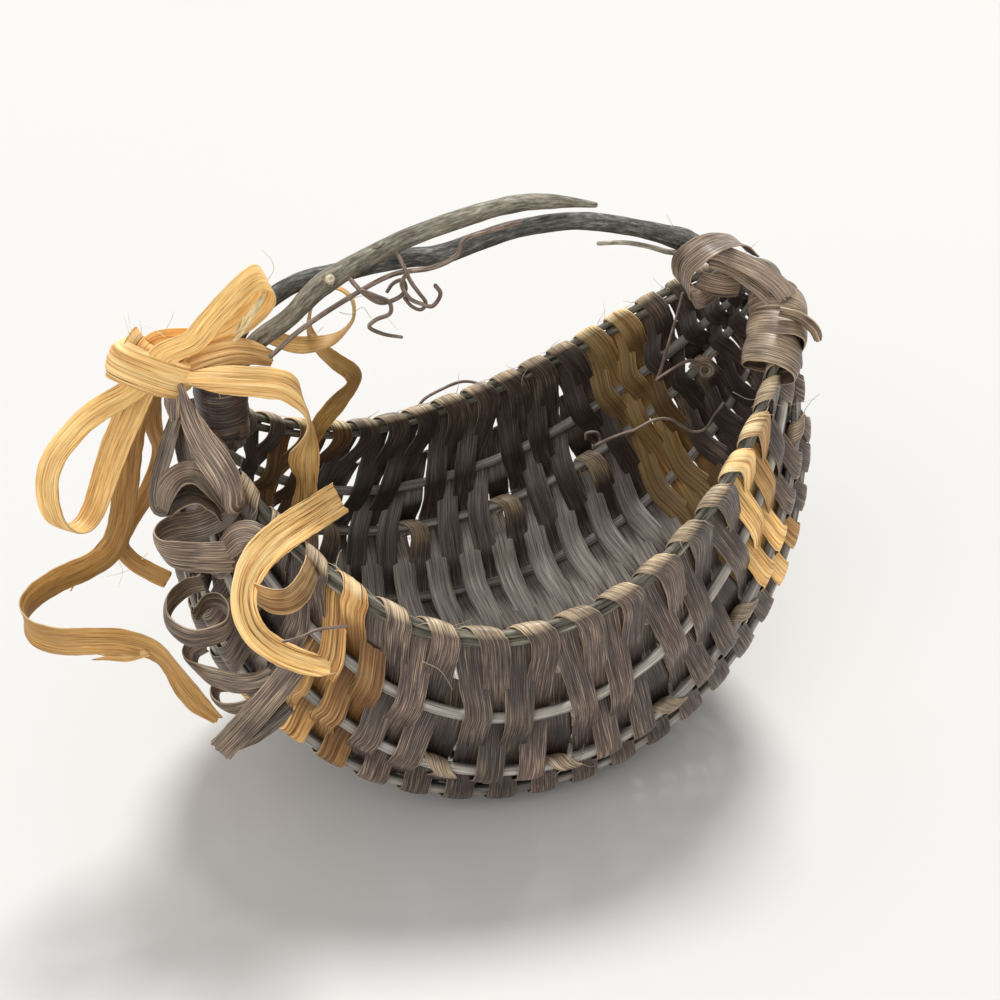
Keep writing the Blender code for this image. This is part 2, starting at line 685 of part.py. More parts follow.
ribbon(
    "bow_tail_short",
    [in_knot(4, -5.2, 1), in_knot(4, -5.2, 10), (-153, -1, 193), (-151, 3, 179), (-154, 4, 168),
     (-161, 3, 156), (-169, 1, 146), (-174, -2, 138), (-171, -5, 131), (-164, -8, 125), (-157, -11, 121)],
    [(0.86, 0, -0.51), (0.86, 0, -0.51), (0.9, -0.4, 0.1), (0.9, -0.4, 0.2), (0.85, -0.35, 0.4),
     (0.75, -0.2, 0.6), (0.6, 0, 0.8), (0.4, 0.3, 0.85), LEVEL, LEVEL, LEVEL],
    7.5, ORANGE, 22,
)
ribbon(
    "bow_band_right",
    [(-134, -21.5, 221), (-127, -23, 222), (-118, -24, 221), (-107, -24, 218), (-98, -23, 212),
     (-92, -21, 202), (-90, -18, 190), (-91, -14, 178), (-92, -11, 167), (-91, -8, 155), (-89, -6, 143),
     (-85, -4, 130)],
    [LEVEL, LEVEL, LEVEL, (0.3, 0.35, 0.87), (0.65, 0.1, 0.7), (0.9, -0.1, 0.4), (0.9, -0.4, 0),
     (0.75, -0.65, 0), (0.85, -0.5, 0), (0.95, -0.3, 0), (0.95, -0.3, 0), (0.95, -0.3, 0)],
    10.5, ORANGE, 28,
)
ribbon(
    "bow_band_back",
    [(-130.5, -17.5, 224), (-125, -17.5, 227), (-117, -16.5, 229), (-109, -14.5, 227), (-102, -11, 222)],
    LEVEL, 10.0, ORANGE, 9,
)
ribbon(
    "band_curl_small",
    [(-69, 72, 142), (-66, 66, 150), (-62, 56, 162), (-57, 46, 176), (-60, 38, 186), (-68, 30, 196),
     (-76, 25, 207), (-80, 22, 218), (-77, 21, 230), (-68, 21, 236), (-60, 22, 229), (-61, 20, 219),
     (-71, 17, 213), (-86, 14, 214), (-98, 15, 219)],
    [(0.7, 0.5, 0.5), (0.7, 0.5, 0.5), (0.7, 0.5, 0.5), (0.8, 0.4, 0.4), (0.7, 0.6, 0.4), (0.6, 0.7, 0.4),
     (0.5, 0.8, 0.3), (0.3, 0.9, 0.1), (0.3, 0.95, 0), (0.3, 0.95, 0), (0.3, 0.9, 0.1), (0.3, 0.9, 0.3),
     (0.2, 0.7, 0.7), (0.2, 0.5, 0.85), (0.2, 0.5, 0.85)],
    5.5, ORANGE, 30,
)
CURL_AXIS = (-0.29, 0.58, 0.755)
ribbon(
    "band_curl_front",
    [(-91, -40, 168), (-104, -56, 172), (-119, -74, 176), (-129, -88, 176), (-134, -100, 173),
     (-136, -107, 169), (-134, -112, 161), (-127, -113, 152), (-118, -112, 143), (-108, -109, 135)],
    CURL_AXIS, 11.5, ORANGE, 22,
)
ribbon(
    "band_curl_front_inner",
    [(-125, -99, 170), (-121, -103, 166), (-115, -101, 163), (-109, -93, 163), (-106, -84, 166),
     (-106, -77, 170), (-108, -72, 175)],
    CURL_AXIS, 7.5, ORANGE, 12,
)

# Loose ends of brown reed curled up outside the left end.
for name, across, wide, count, points in (
    (
        "reed_drop_front", (0.75, 0.15, 0.6), 10.5, 12,
        [(-141, -24, 213), (-140, -27, 206), (-137, -32, 199), (-134, -38, 193), (-130, -45, 187),
         (-128, -51, 182), (-129, -57, 177)],
    ),
    (
        "reed_drop_left", (0.7, -0.6, 0.3), 8.0, 10,
        [(-143, -14, 205), (-146, -15, 195), (-150, -16, 185), (-155, -19, 176), (-159, -24, 169),
         (-161, -31, 164)],
    ),
    (
        "reed_curl_top", (0.1, 0.5, 0.85), 9.0, 14,
        [(-157, -34, 172), (-153, -30, 177), (-147, -28, 180), (-141, -30, 180), (-138, -36, 177),
         (-137, -43, 173)],
    ),
    (
        "reed_curl_1", LEVEL, 11.0, 18,
        [(-139, -38, 162), (-147, -37, 160), (-155, -38, 161), (-160, -41, 161), (-160, -47, 160),
         (-155, -53, 158), (-146, -58, 157), (-134, -61, 157)],
    ),
    (
        "reed_curl_2", [LEVEL] * 6 + [(0.1, 0.25, 0.95)] * 5, 9.0, 30,
        [(-144, -49, 146), (-153, -49, 144), (-160, -51, 139), (-162, -56, 134), (-158, -62, 129),
         (-150, -67, 127), (-141, -71, 128), (-134, -69, 130), (-131, -62, 131), (-136, -56, 132),
         (-143, -55, 133)],
    ),
    (
        "reed_curl_3", LEVEL, 8.0, 13,
        [(-148, -60, 119), (-153, -61, 117), (-154, -66, 115), (-150, -72, 113), (-144, -77, 112),
         (-137, -82, 112), (-130, -86, 114)],
    ),
    (
        "reed_curl_4", LEVEL, 5.5, 10,
        [(-139, -70, 103), (-145, -71, 104), (-147, -75, 102), (-144, -79, 99), (-139, -81, 98)],
    ),
    (
        "reed_end_flat", (0.6, -0.56, -0.57), 9.5, 5,
        [(-122, -96, 118), (-131, -96, 108), (-140, -95, 98), (-148, -94, 89)],
    ),
):
    ribbon(name, points, across, wide, BROWN, count)

# Straps over the end of the grey vine, at the right end of the rim.
ribbon(
    "strap_right_loop",
    [(115, 5, 225), (108, 8, 219), (101, 8, 215), (95, 4, 217), (89, -2, 224), (84, -8, 230),
     (82, -12, 240), (86, -14, 246), (93, -13, 249), (102, -8, 248), (113, -2, 244), (122, 4, 236)],
    [(0.34, -0.59, -0.74), (0.34, -0.59, -0.74), (0.4, -0.6, -0.7), (0.42, -0.58, -0.7),
     (0.42, -0.58, -0.7), (0.42, -0.58, -0.7), (0.42, -0.65, -0.65), (0.3, -0.8, -0.5),
     (0, -0.95, -0.3), (-0.2, -0.95, 0), (-0.3, -0.9, 0.2), (-0.3, -0.85, 0.45)],
    11.0, BROWN, 26,
)
ribbon(
    "strap_right_end",
    [(103, -13, 242), (110, -16, 239), (116, -20, 235), (121, -24, 233)],
    [(0.3, 0.6, 0.7), (0.4, 0.6, 0.7), (0.55, 0.6, 0.55), (0.6, 0.6, 0.5)],
    8.5, BROWN, 7,
)
for name, s, wide, low, high in (
    ("strap_right_wrap_1", 358, 12.5, -35, 212),
    ("strap_right_wrap_2", 373.5, 12.5, -35, 195),
    ("strap_right_wrap_3", 388.5, 10.0, -25, 130),
):
    point, run, up, out = rim_frame(NEAR, s)
    turns = np.radians(np.linspace(low, high, 16))
    arc = [point + out * (12.6 * math.cos(v) - 2.4) + up * (9.6 * math.sin(v) + 0.4) for v in turns]
    strip(name, np.array(arc), run, wide, BROWN)

# The strap wound round the feet of both vines, at the left end of the rim.
FOOT = np.array((-119.4, 0.0, 194.5))
WINDS = np.linspace(0, 2.05, 22) * 2 * math.pi
foot_wrap = [FOOT + (-6.4 * math.cos(v), -11.0 * math.sin(v), 9.0 - 1.68 * v) for v in WINDS]
strip("strap_left", np.array(foot_wrap), (0.0, 0.0, 1.0), 9.4, BROWN, square=False)
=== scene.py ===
import math

import bpy
import numpy as np
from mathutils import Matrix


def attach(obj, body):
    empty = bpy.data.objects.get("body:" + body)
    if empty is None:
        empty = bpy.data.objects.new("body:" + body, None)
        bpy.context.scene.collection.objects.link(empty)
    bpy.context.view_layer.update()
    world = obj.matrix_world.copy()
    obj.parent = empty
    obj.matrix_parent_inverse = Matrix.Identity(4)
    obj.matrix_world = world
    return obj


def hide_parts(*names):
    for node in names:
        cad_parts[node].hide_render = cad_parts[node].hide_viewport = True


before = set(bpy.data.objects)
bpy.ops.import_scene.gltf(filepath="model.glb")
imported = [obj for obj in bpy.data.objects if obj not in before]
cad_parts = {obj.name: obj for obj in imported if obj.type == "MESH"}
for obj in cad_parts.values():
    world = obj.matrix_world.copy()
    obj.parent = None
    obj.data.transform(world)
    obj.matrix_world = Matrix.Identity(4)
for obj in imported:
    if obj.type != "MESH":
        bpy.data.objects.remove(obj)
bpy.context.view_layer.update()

# The view: the basket stands on a plain pale floor and is seen from its near side, a little from
# the left and from above, in soft even light.
VIEW_PLACE = (-0.1753, -0.5683, 0.4984)
VIEW_TURN = (math.radians(58.0), 0.0, -0.3012)
VIEW_LENS, FILM_WIDE = 53.28, 36.0
LAMPS = (("overhead_lamp", 2.6, 16.0, 26.0, 150.0), ("fill_lamp", 1.05, 50.0, 52.0, -44.0))
SKY_LIGHT = 0.46
FLOOR_COLOUR, FLOOR_REACH = (0.68, 0.67, 0.65), 6.0
WHITE = (1.0, 1.0, 1.0)

scene = bpy.context.scene
scene.view_settings.view_transform = "Standard"
viewer = bpy.data.objects.new("photo_view", bpy.data.cameras.new("photo_view"))
viewer.location, viewer.rotation_euler = VIEW_PLACE, VIEW_TURN
viewer.data.lens, viewer.data.sensor_width = VIEW_LENS, FILM_WIDE
scene.collection.objects.link(viewer)
scene.camera = viewer

for label, power, width, tilt, turn in LAMPS:
    lamp = bpy.data.objects.new(label, bpy.data.lights.new(label, "SUN"))
    lamp.data.energy = power
    lamp.data.angle = math.radians(width)
    lamp.rotation_euler = (math.radians(tilt), 0.0, math.radians(turn))
    scene.collection.objects.link(lamp)


class Wire:
    """A value in a node tree. A sum or a product of wires becomes a node of that tree."""

    def __init__(self, socket):
        self.socket, self.tree, self.vector = socket, socket.id_data, socket.type == "VECTOR"

    def __add__(self, other):
        return reckoned("ADD", self, other)

    def __sub__(self, other):
        return reckoned("SUBTRACT", self, other)

    def __mul__(self, other):
        return reckoned("MULTIPLY", self, other)


def feed(node, wires):
    """Sets a node's inputs, each to a plain value or to a wire."""
    for key, value in wires.items():
        if isinstance(value, Wire):
            node.id_data.links.new(value.socket, node.inputs[key])
        else:
            node.inputs[key].default_value = value
    return node


def put(tree, kind, wires=None, **settings):
    """Adds a node to a tree and gives its outputs back as wires, by number and by name."""
    node = tree.nodes.new(kind)
    for key, value in settings.items():
        setattr(node, key, value)
    outputs = [Wire(socket) for socket in feed(node, wires or {}).outputs]
    return {**dict(enumerate(outputs)), **{wire.socket.name: wire for wire in outputs}}


def tree_of(*terms):
    return next(term.tree for term in terms if isinstance(term, Wire))


def reckoned(operation, *terms):
    """The result of an operation on numbers, or on places where a term is one."""
    places = [isinstance(term, tuple) or getattr(term, "vector", False) for term in terms]
    if operation == "MULTIPLY" and any(places) and not all(places):
        place, share = terms if places[0] else terms[::-1]
        wires = {0: place, "Scale": share}
        return put(tree_of(*terms), "ShaderNodeVectorMath", wires, operation="SCALE")[0]
    kind = "ShaderNodeVectorMath" if any(places) else "ShaderNodeMath"
    outputs = put(tree_of(*terms), kind, dict(enumerate(terms)), operation=operation)
    return outputs[1 if operation == "DOT_PRODUCT" else 0]


def ranged(value, low, high, to_low=0.0, to_high=1.0):
    """A value carried from one range to another and held at its ends."""
    return put(value.tree, "ShaderNodeMapRange", {"Value": value, "From Min": low, "From Max": high,
                                                  "To Min": to_low, "To Max": to_high})[0]


def mixed(share, first, second, way="MIX"):
    """One colour over another; a colour is three numbers or a wire."""
    wires = {0: share}
    for key, colour in ((6, first), (7, second)):
        wires[key] = colour if isinstance(colour, Wire) else (*colour, 1)
    tree = tree_of(share, first, second)
    return put(tree, "ShaderNodeMix", wires, data_type="RGBA", blend_type=way)[2]


def new_material(name):
    """An empty material, its node tree and its Principled shader."""
    material = bpy.data.materials.new(name)
    material.use_nodes = True
    return material, material.node_tree, material.node_tree.nodes["Principled BSDF"]


world = bpy.data.worlds.new("studio")
world.use_nodes = True
world.node_tree.nodes.clear()
path = put(world.node_tree, "ShaderNodeLightPath")
seen = reckoned("MAXIMUM", path["Is Camera Ray"], path["Is Glossy Ray"])
seen = reckoned("MAXIMUM", seen, path["Is Transmission Ray"])
level = ranged(seen, 0.0, 1.0, SKY_LIGHT)
sky = put(world.node_tree, "ShaderNodeBackground", {"Color": (*WHITE, 1), "Strength": level})[0]
put(world.node_tree, "ShaderNodeOutputWorld", {"Surface": sky})
scene.world = world

floor_paint, tree, shader = new_material("pale_floor")
grit = put(tree, "ShaderNodeTexNoise", {"Scale": 14.0, "Detail": 4.0})[0]
paint = mixed(1.0, FLOOR_COLOUR, ranged(grit, 0.0, 1.0, 0.97), "MULTIPLY")
feed(shader, {"Base Color": paint, "Roughness": 0.9})
mesh = bpy.data.meshes.new("floor")
corners = [(x * FLOOR_REACH, y * FLOOR_REACH, 0) for x, y in ((-1, -1), (1, -1), (1, 1), (-1, 1))]
mesh.from_pydata(corners, [], [(0, 1, 2, 3)])
mesh.materials.append(floor_paint)
floor = bpy.data.objects.new("floor", mesh)
scene.collection.objects.link(floor)


# Ribs: nine lengths of round reed, pointed at both ends, bent lengthwise under the basket and
# pushed into the weaving at its ends. They give the bowl its shape. Sizes here are in millimetres.
MM = 0.001
HALF_LENGTH, HALF_WIDTH = 132.0, 99.5
RIM_LOW, END_LEFT, END_RIGHT = 125.0, 188.5, 226.5
RIM_RISE, RIM_SKEW = 2.2, 30.0
PLAN_ROUND, SIDE_ROUND, KEEL_ROUND = 1.12, 0.573, 1.27
BULGE, FLAT, KEEL_DROP = 0.57, 3.9, 5.5
RIB_R, RIB_TIP_R, RIB_TAPER = 2.5, 1.35, 50.0
RIB_ANGLES = (0.0, 10.0, 29.0, 55.0, 78.5, 90.0, 102.0, 133.0, 160.0, 171.5, 180.0)
RIB_NAMES = (None, "rib_near_upper", "rib_near_middle", "rib_near_lower", "rib_near_base", "rib_keel",
             "rib_far_base", "rib_far_lower", "rib_far_middle", "rib_far_upper", None)
NEAR, FAR = 0, 10
FIRST_SET = (0, 1, 2, 5, 8, 9, 10)
RIB_START, LATE_START = 0.20, 0.43


def unit(v):
    v = np.asarray(v, float)
    return v / np.maximum(np.linalg.norm(v, axis=-1, keepdims=True), 1e-12)


def arc_length(points):
    return np.concatenate([[0.0], np.cumsum(np.linalg.norm(np.diff(points, axis=0), axis=1))])


def directions(points, closed=False):
    p = np.asarray(points, float)
    if closed:
        return unit(np.roll(p, -1, axis=0) - np.roll(p, 1, axis=0))
    ahead = np.vstack([p[1:], p[-1:]]) - p
    behind = p - np.vstack([p[:1], p[:-1]])
    return unit(unit(ahead) + unit(behind))


def body_surface(t, phi):
    """A point of the basket's shape. t runs from the left end to the right, phi from the near
    rim under the base to the far rim."""
    t, phi = np.broadcast_arrays(np.asarray(t, float), np.asarray(phi, float))
    st, ct = np.maximum(np.sin(t), 0), -np.cos(t)
    c, s = np.cos(phi), np.maximum(np.sin(phi), 0)
    end = END_LEFT + (END_RIGHT - END_LEFT) * (ct + 1) / 2
    rim = RIM_LOW + (end - RIM_LOW) * np.abs(ct) ** RIM_RISE + RIM_SKEW * ct * (1 - ct * ct)
    keel = end * (1 - st**KEEL_ROUND) + FLAT - KEEL_DROP
    x = HALF_LENGTH * ct * (1 + BULGE * s * st)
    y = -HALF_WIDTH * st**PLAN_ROUND * np.sign(c) * np.abs(c) ** SIDE_ROUND
    rise = rim - (rim - keel) * s**SIDE_ROUND - FLAT
    rise = np.where(rise < 1, np.maximum(rise + 1, 0) ** 2 / 4, rise)
    return np.stack([x, y, FLAT + rise], axis=-1)


class Curve:
    """A line that can be read by distance along it."""

    def __init__(self, points):
        self.points = np.asarray(points, float)
        self.s = arc_length(self.points)
        self.run = directions(self.points)

    def at(self, s):
        return np.array([np.interp(s, self.s, self.points[:, k]) for k in range(3)])

    def along(self, s):
        return unit([np.interp(s, self.s, self.run[:, k]) for k in range(3)])


LINES, TIMES = [], []
for j, angle in enumerate(RIB_ANGLES):
    start = 0.0 if j in (NEAR, FAR) else RIB_START if j in FIRST_SET else LATE_START
    TIMES.append(np.linspace(start, math.pi - start, 700))
    LINES.append(Curve(body_surface(TIMES[-1], math.radians(angle))))


def rib_radius(j, s):
    near_end = np.minimum(s, LINES[j].s[-1] - s)
    return RIB_TIP_R + (RIB_R - RIB_TIP_R) * np.clip(near_end / RIB_TAPER, 0, 1)


def new_tree(name, sockets):
    """A geometry tree with one geometry in and out, and its named inputs as wires."""
    tree = bpy.data.node_groups.new(name, "GeometryNodeTree")
    for way in ("OUTPUT", "INPUT"):
        tree.interface.new_socket("Geometry", in_out=way, socket_type="NodeSocketGeometry")
    for label, kind, value in sockets:
        socket = tree.interface.new_socket(label, in_out="INPUT", socket_type="NodeSocket" + kind)
        if value is not None:
            socket.default_value = value
    return tree, put(tree, "NodeGroupInput")


def kept(body, name, value):
    """Stores a value on the points, under a name."""
    wires = {"Geometry": body, "Name": name, "Value": value}
    kind = "FLOAT_VECTOR" if value.vector else "FLOAT"
    return put(body.tree, "GeometryNodeStoreNamedAttribute", wires, data_type=kind, domain="POINT")[0]


def held(tree, kind, *names):
    """Reads values that the points carry."""
    return [put(tree, "GeometryNodeInputNamedAttribute", {"Name": name}, data_type=kind)[0]
            for name in names]


def xyz(x, y, z):
    return put(tree_of(x, y, z), "ShaderNodeCombineXYZ", {0: x, 1: y, 2: z})[0]


def noise(place, scale, detail=2.0, **more):
    """Soft random values over a place, or along a length."""
    key, dimensions = ("Vector", "3D") if place.vector else ("W", "1D")
    wires = {key: place, "Scale": scale, "Detail": detail, **more}
    return put(place.tree, "ShaderNodeTexNoise", wires, noise_dimensions=dimensions)[0]


def swept(inputs):
    """The path as a curve that remembers its place, its direction and its length so far, swept
    with a ring whose points remember their angle."""
    tree = inputs["Geometry"].tree
    curve = put(tree, "GeometryNodeMeshToCurve", {"Mesh": inputs["Geometry"]})[0]
    curve = kept(curve, "spine", put(tree, "GeometryNodeInputPosition")[0])
    curve = kept(curve, "ahead", put(tree, "GeometryNodeInputTangent")[0])
    curve = kept(curve, "along", put(tree, "GeometryNodeSplineParameter")["Length"])
    ring = put(tree, "GeometryNodeCurvePrimitiveCircle", {"Resolution": inputs["Around"], "Radius": MM})[0]
    turn = reckoned("DIVIDE", put(tree, "GeometryNodeInputIndex")[0], inputs["Around"])
    wires = {"Curve": curve, "Profile Curve": kept(ring, "ring", turn * (2 * math.pi)), "Fill Caps": True}
    return put(tree, "GeometryNodeCurveToMesh", wires)[0]


def closing(body, place, grain, material):
    """The points at their place, smooth shading, real meshes and the material, then out."""
    body = put(body.tree, "GeometryNodeSetPosition", {"Geometry": body, "Position": place})[0]
    body = kept(body, "grain", grain)
    body = put(body.tree, "GeometryNodeSetShadeSmooth", {"Geometry": body, "Shade Smooth": True})[0]
    body = put(body.tree, "GeometryNodeRealizeInstances", {"Geometry": body})[0]
    body = put(body.tree, "GeometryNodeSetMaterial", {"Geometry": body, "Material": material})[0]
    put(body.tree, "NodeGroupOutput", {"Geometry": body})


PIECES_APART = 0.37  # metres of grain between one piece and the next, so that no two look alike

# a round stem: the ring at the path's own thickness, roughened lengthwise like reed or bark, with
# so much grain to the metre
STEM_TREE, inputs = new_tree("round_stem", (
    ("Around", "Int", 12), ("Roughening", "Float", 0.05), ("Grain", "Float", 500.0),
    ("Swelling", "Float", 0.03), ("Seed", "Float", 0.0), ("Material", "Material", None)))
angle, thick, along = held(STEM_TREE, "FLOAT", "ring", "thick", "along")
side, ahead, spine = held(STEM_TREE, "FLOAT_VECTOR", "across", "ahead", "spine")
other = reckoned("NORMALIZE", reckoned("CROSS_PRODUCT", ahead, side))
cosine, sine = reckoned("COSINE", angle), reckoned("SINE", angle)
apart = inputs["Seed"] * PIECES_APART
grain = xyz(along + apart, cosine * thick + apart, sine * thick)
rough = (noise(grain * (0.06, 1.0, 1.0), inputs["Grain"]) - 0.5) * inputs["Roughening"]
swell = (noise(along * 45.0 + inputs["Seed"], 1.0) - 0.5) * inputs["Swelling"]
reach = thick * (rough + swell + 1.0)
closing(swept(inputs), spine + (side * cosine + other * sine) * reach, grain, inputs["Material"])
STEM_FORM = STEM_TREE, (("across", 3, 1.0), ("thick", 1, MM), ("shade", 1, 1.0), ("worn", 1, 1.0))
SCAFFOLD = ("spine", "ahead", "along", "ring", "across", "thick", "crown", "breadth", "fray")
SLOTS = {}  # the slot of the record that each material belongs to


def formed(name, runs, form, closed=False, **values):
    """Lays runs of points down as lines with their own columns of values, sends them through a
    geometry tree and keeps the result as a plain mesh. Its name is that of the CAD's node which
    it stands for, with one word more; a name without such a node is a piece of the scene's own."""
    tree, columns = form
    verts, edges, rows = [], [], []
    for run in runs:
        first = len(verts)
        verts += [tuple(p) for p in np.asarray(run)[:, :3] * MM]
        rows.append(np.asarray(run)[:, 3:])
        edges += [(k, k + 1) for k in range(first, len(verts) - 1)]
        if closed:
            edges.append((len(verts) - 1, first))
    mesh = bpy.data.meshes.new(name)
    mesh.from_pydata(verts, edges, [])
    rows, at = np.vstack(rows), 0
    for label, wide, scale in columns:
        attribute = mesh.attributes.new(label, "FLOAT_VECTOR" if wide == 3 else "FLOAT", "POINT")
        flat = np.ascontiguousarray(rows[:, at : at + wide] * scale, np.float32).ravel()
        attribute.data.foreach_set("vector" if wide == 3 else "value", flat)
        at += wide
    piece = bpy.data.objects.new(name, mesh)
    scene.collection.objects.link(piece)
    modifier = piece.modifiers.new("form", "NODES")
    modifier.node_group = tree
    for item in tree.interface.items_tree:
        if item.in_out == "INPUT" and item.name in values:
            modifier[item.identifier] = values[item.name]
    graph = bpy.context.evaluated_depsgraph_get()
    plain = bpy.data.meshes.new_from_object(piece.evaluated_get(graph))
    piece.modifiers.clear()
    piece.data = plain
    plain.name = name
    for label in SCAFFOLD:
        if label in plain.attributes:
            plain.attributes.remove(plain.attributes[label])
    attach(piece, "root")
    node = name.rpartition("_")[0]
    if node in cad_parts:
        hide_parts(node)


def stem_run(points, radii, shade=0.5, closed=False):
    """Columns for a round stem along points: a side direction carried along without twist."""
    p = np.asarray(points, float)
    run = directions(p, closed)
    radii = np.broadcast_to(np.asarray(radii, float), len(p)).copy()
    side, sides = np.cross(run[0], (0.0, 0.0, 1.0) if abs(run[0][2]) < 0.9 else (0.0, 1.0, 0.0)), []
    for ahead in run:
        side = unit(side - side @ ahead * ahead)
        sides.append(side)
    if not closed:
        p = np.vstack([p[0] - run[0] * radii[0] * 0.5, p, p[-1] + run[-1] * radii[-1] * 0.5])
        sides = [sides[0], *sides, sides[-1]]
        radii = np.concatenate([radii[:1] * 0.6, radii, radii[-1:] * 0.6])
    count = len(p)
    return np.column_stack([p, np.array(sides), radii, np.full(count, shade), np.zeros(count)])


# lengthwise grain, read from each piece's own path so that it bends with the piece, with so many
# streaks to the metre
GRAIN = bpy.data.node_groups.new("lengthwise_grain", "ShaderNodeTree")
for label, value in (("Fineness", 2300.0), ("Stretch", 0.022)):
    GRAIN.interface.new_socket(label, in_out="INPUT", socket_type="NodeSocketFloat").default_value = value
for label in ("Streaks", "Threads", "Bands", "Blotches", "Shade", "Worn", "Edge"):
    GRAIN.interface.new_socket(label, in_out="OUTPUT", socket_type="NodeSocketFloat")
inputs = put(GRAIN, "NodeGroupInput")
grain = put(GRAIN, "ShaderNodeAttribute", attribute_name="grain")["Vector"]
marks = {name.title(): put(GRAIN, "ShaderNodeAttribute", attribute_name=name)["Fac"]
         for name in ("shade", "worn", "edge")}
stretched = grain * xyz(inputs["Stretch"], 1.0, 1.0)
for label, times, detail in (("Streaks", 1.0, 3.0), ("Threads", 2.7, 1.0), ("Bands", 0.22, 1.0)):
    marks[label] = noise(stretched, inputs["Fineness"] * times, detail, Roughness=0.65)
marks["Blotches"] = noise(grain, 70.0, 3.0)
put(GRAIN, "NodeGroupOutput", marks)

BOWL_MIDDLE, DUST_AND_LIGHT_TOP, DUST_AND_LIGHT_BOTTOM = (0.0, 0.0, 0.12), 0.115, 0.05  # in metres, as a material reads them
DARKEST, LIGHTEST, CRACK_DARK = 0.42, 1.52, 0.25  # the tones of shades 0 and 1, and of a crack
# where in the range of the streaks the dark ones, the light ones, the cracks and the rubbed ones lie
DARK_STREAKS, LIGHT_STREAKS = (0.34, 0.52), (0.53, 0.71)
CRACK_STREAKS, RUBBED_STREAKS = (0.33, 0.39), (0.40, 0.56)


def fibrous(name, slot, dark, middle, light, worn_and_highlight_colour, rough=(0.45, 0.75), fineness=2300.0,
            stretch=0.022, depth=0.12, cracks=0.0, dust_and_light=None, inside=1.0, hollow=1.0, mottle=0.80,
            deep=None):
    """Wood cut or split along its fibres: fine streaks from dark to light, faint bands, dark
    lengthwise cracks, pale patches where it is rubbed, a painted highlight along the edges, and
    dust where it lies low on the ribs, its colours pale enough that they also paint the light
    falling on the bowl's floor. inside is the tone of faces turned to the middle of the bowl,
    hollow that of the parts that lie under a rib, both painted shade. mottle is how dark the
    patches are, and deep the colour that the darker reeds lean to: partly the tone of darker
    reed, partly a painted redder hue of orange reed in shadow on the pieces set dark."""
    SLOTS[name] = slot
    material, tree, shader = new_material(name)
    out = put(tree, "ShaderNodeGroup", {"Fineness": fineness, "Stretch": stretch}, node_tree=GRAIN)
    streaks, worn = out["Streaks"], out["Worn"]
    base = mixed(ranged(streaks, *DARK_STREAKS), dark, middle)
    base = mixed(ranged(streaks, *LIGHT_STREAKS), base, light)
    tone = ranged(out["Shade"], 0.0, 1.0, DARKEST, LIGHTEST)
    for label, low, least in (("Bands", 0.35, 0.84), ("Blotches", 0.30, mottle), ("Threads", 0.30, 0.80)):
        tone = tone * ranged(out[label], low, 1.0 - low, least, 2.0 - least)
    base = mixed(1.0, base, tone, "MULTIPLY")
    # deep: partly the tone of darker reed, partly a painted redder hue of orange reed in shadow on the
    # pieces set dark
    if deep:
        base = mixed(1.0, base, mixed(ranged(out["Shade"], 0.0, 0.6), deep, WHITE), "MULTIPLY")
    place = put(tree, "ShaderNodeTexCoord")["Object"]
    normal = put(tree, "ShaderNodeNewGeometry")["Normal"]
    # painted shade: faces turned to the middle of the bowl, and the parts that lie under a rib, are darkened
    if inside < 1.0:
        facing = reckoned("DOT_PRODUCT", reckoned("NORMALIZE", place - BOWL_MIDDLE), normal)
        painted_shade = ranged(facing, -0.45, 0.05, inside) * ranged(worn, 0.0, 0.18, hollow)
        base = mixed(1.0, base, painted_shade, "MULTIPLY")
    # dust on the low, upward faces of the bowl's floor, its colours made pale enough that they also paint
    # the light falling there
    if dust_and_light:
        spot = put(tree, "ShaderNodeSeparateXYZ", {0: place})
        upward = put(tree, "ShaderNodeSeparateXYZ", {0: normal})[2]
        low = ranged(spot[2], DUST_AND_LIGHT_TOP, DUST_AND_LIGHT_BOTTOM) * ranged(upward, 0.0, 0.6)
        low = low * ranged(spot[1], -0.05, 0.0, 0.1) * ranged(worn, 0.18, 0.09, 0.3)
        dust_and_light_share = low * ranged(out["Bands"], 0.30, 0.62, 0.45, 0.95)
        base = mixed(dust_and_light_share, base, mixed(ranged(streaks, 0.38, 0.66), *dust_and_light))
    patch = ranged(worn, 0.15, 1.0) * ranged(out["Blotches"], 0.36, 0.58, 0.35)
    rubbed = patch * ranged(streaks, *RUBBED_STREAKS, 0.16)
    # painted highlight: the edges of the reed paler, stronger where the reed is more worn, in the same
    # colour as the rubbed patches
    edge_highlight = ranged(out["Edge"], 0.95, 0.99) * ranged(worn, 0.0, 0.35, 0.1, 0.6)
    base = mixed(reckoned("MAXIMUM", rubbed, edge_highlight), base, worn_and_highlight_colour)
    if cracks:
        line = ranged(streaks, *CRACK_STREAKS, cracks, 0.0)
        base = mixed(line, base, tuple(c * CRACK_DARK for c in dark))
    height = out["Threads"] * 0.35 + streaks
    bump = put(tree, "ShaderNodeBump", {"Strength": 0.9, "Distance": depth * MM, "Height": height})[0]
    roughness = ranged(streaks, 0.35, 0.65, rough[1], rough[0])
    feed(shader, {"Base Color": base, "Roughness": roughness, "Normal": bump})
    return material


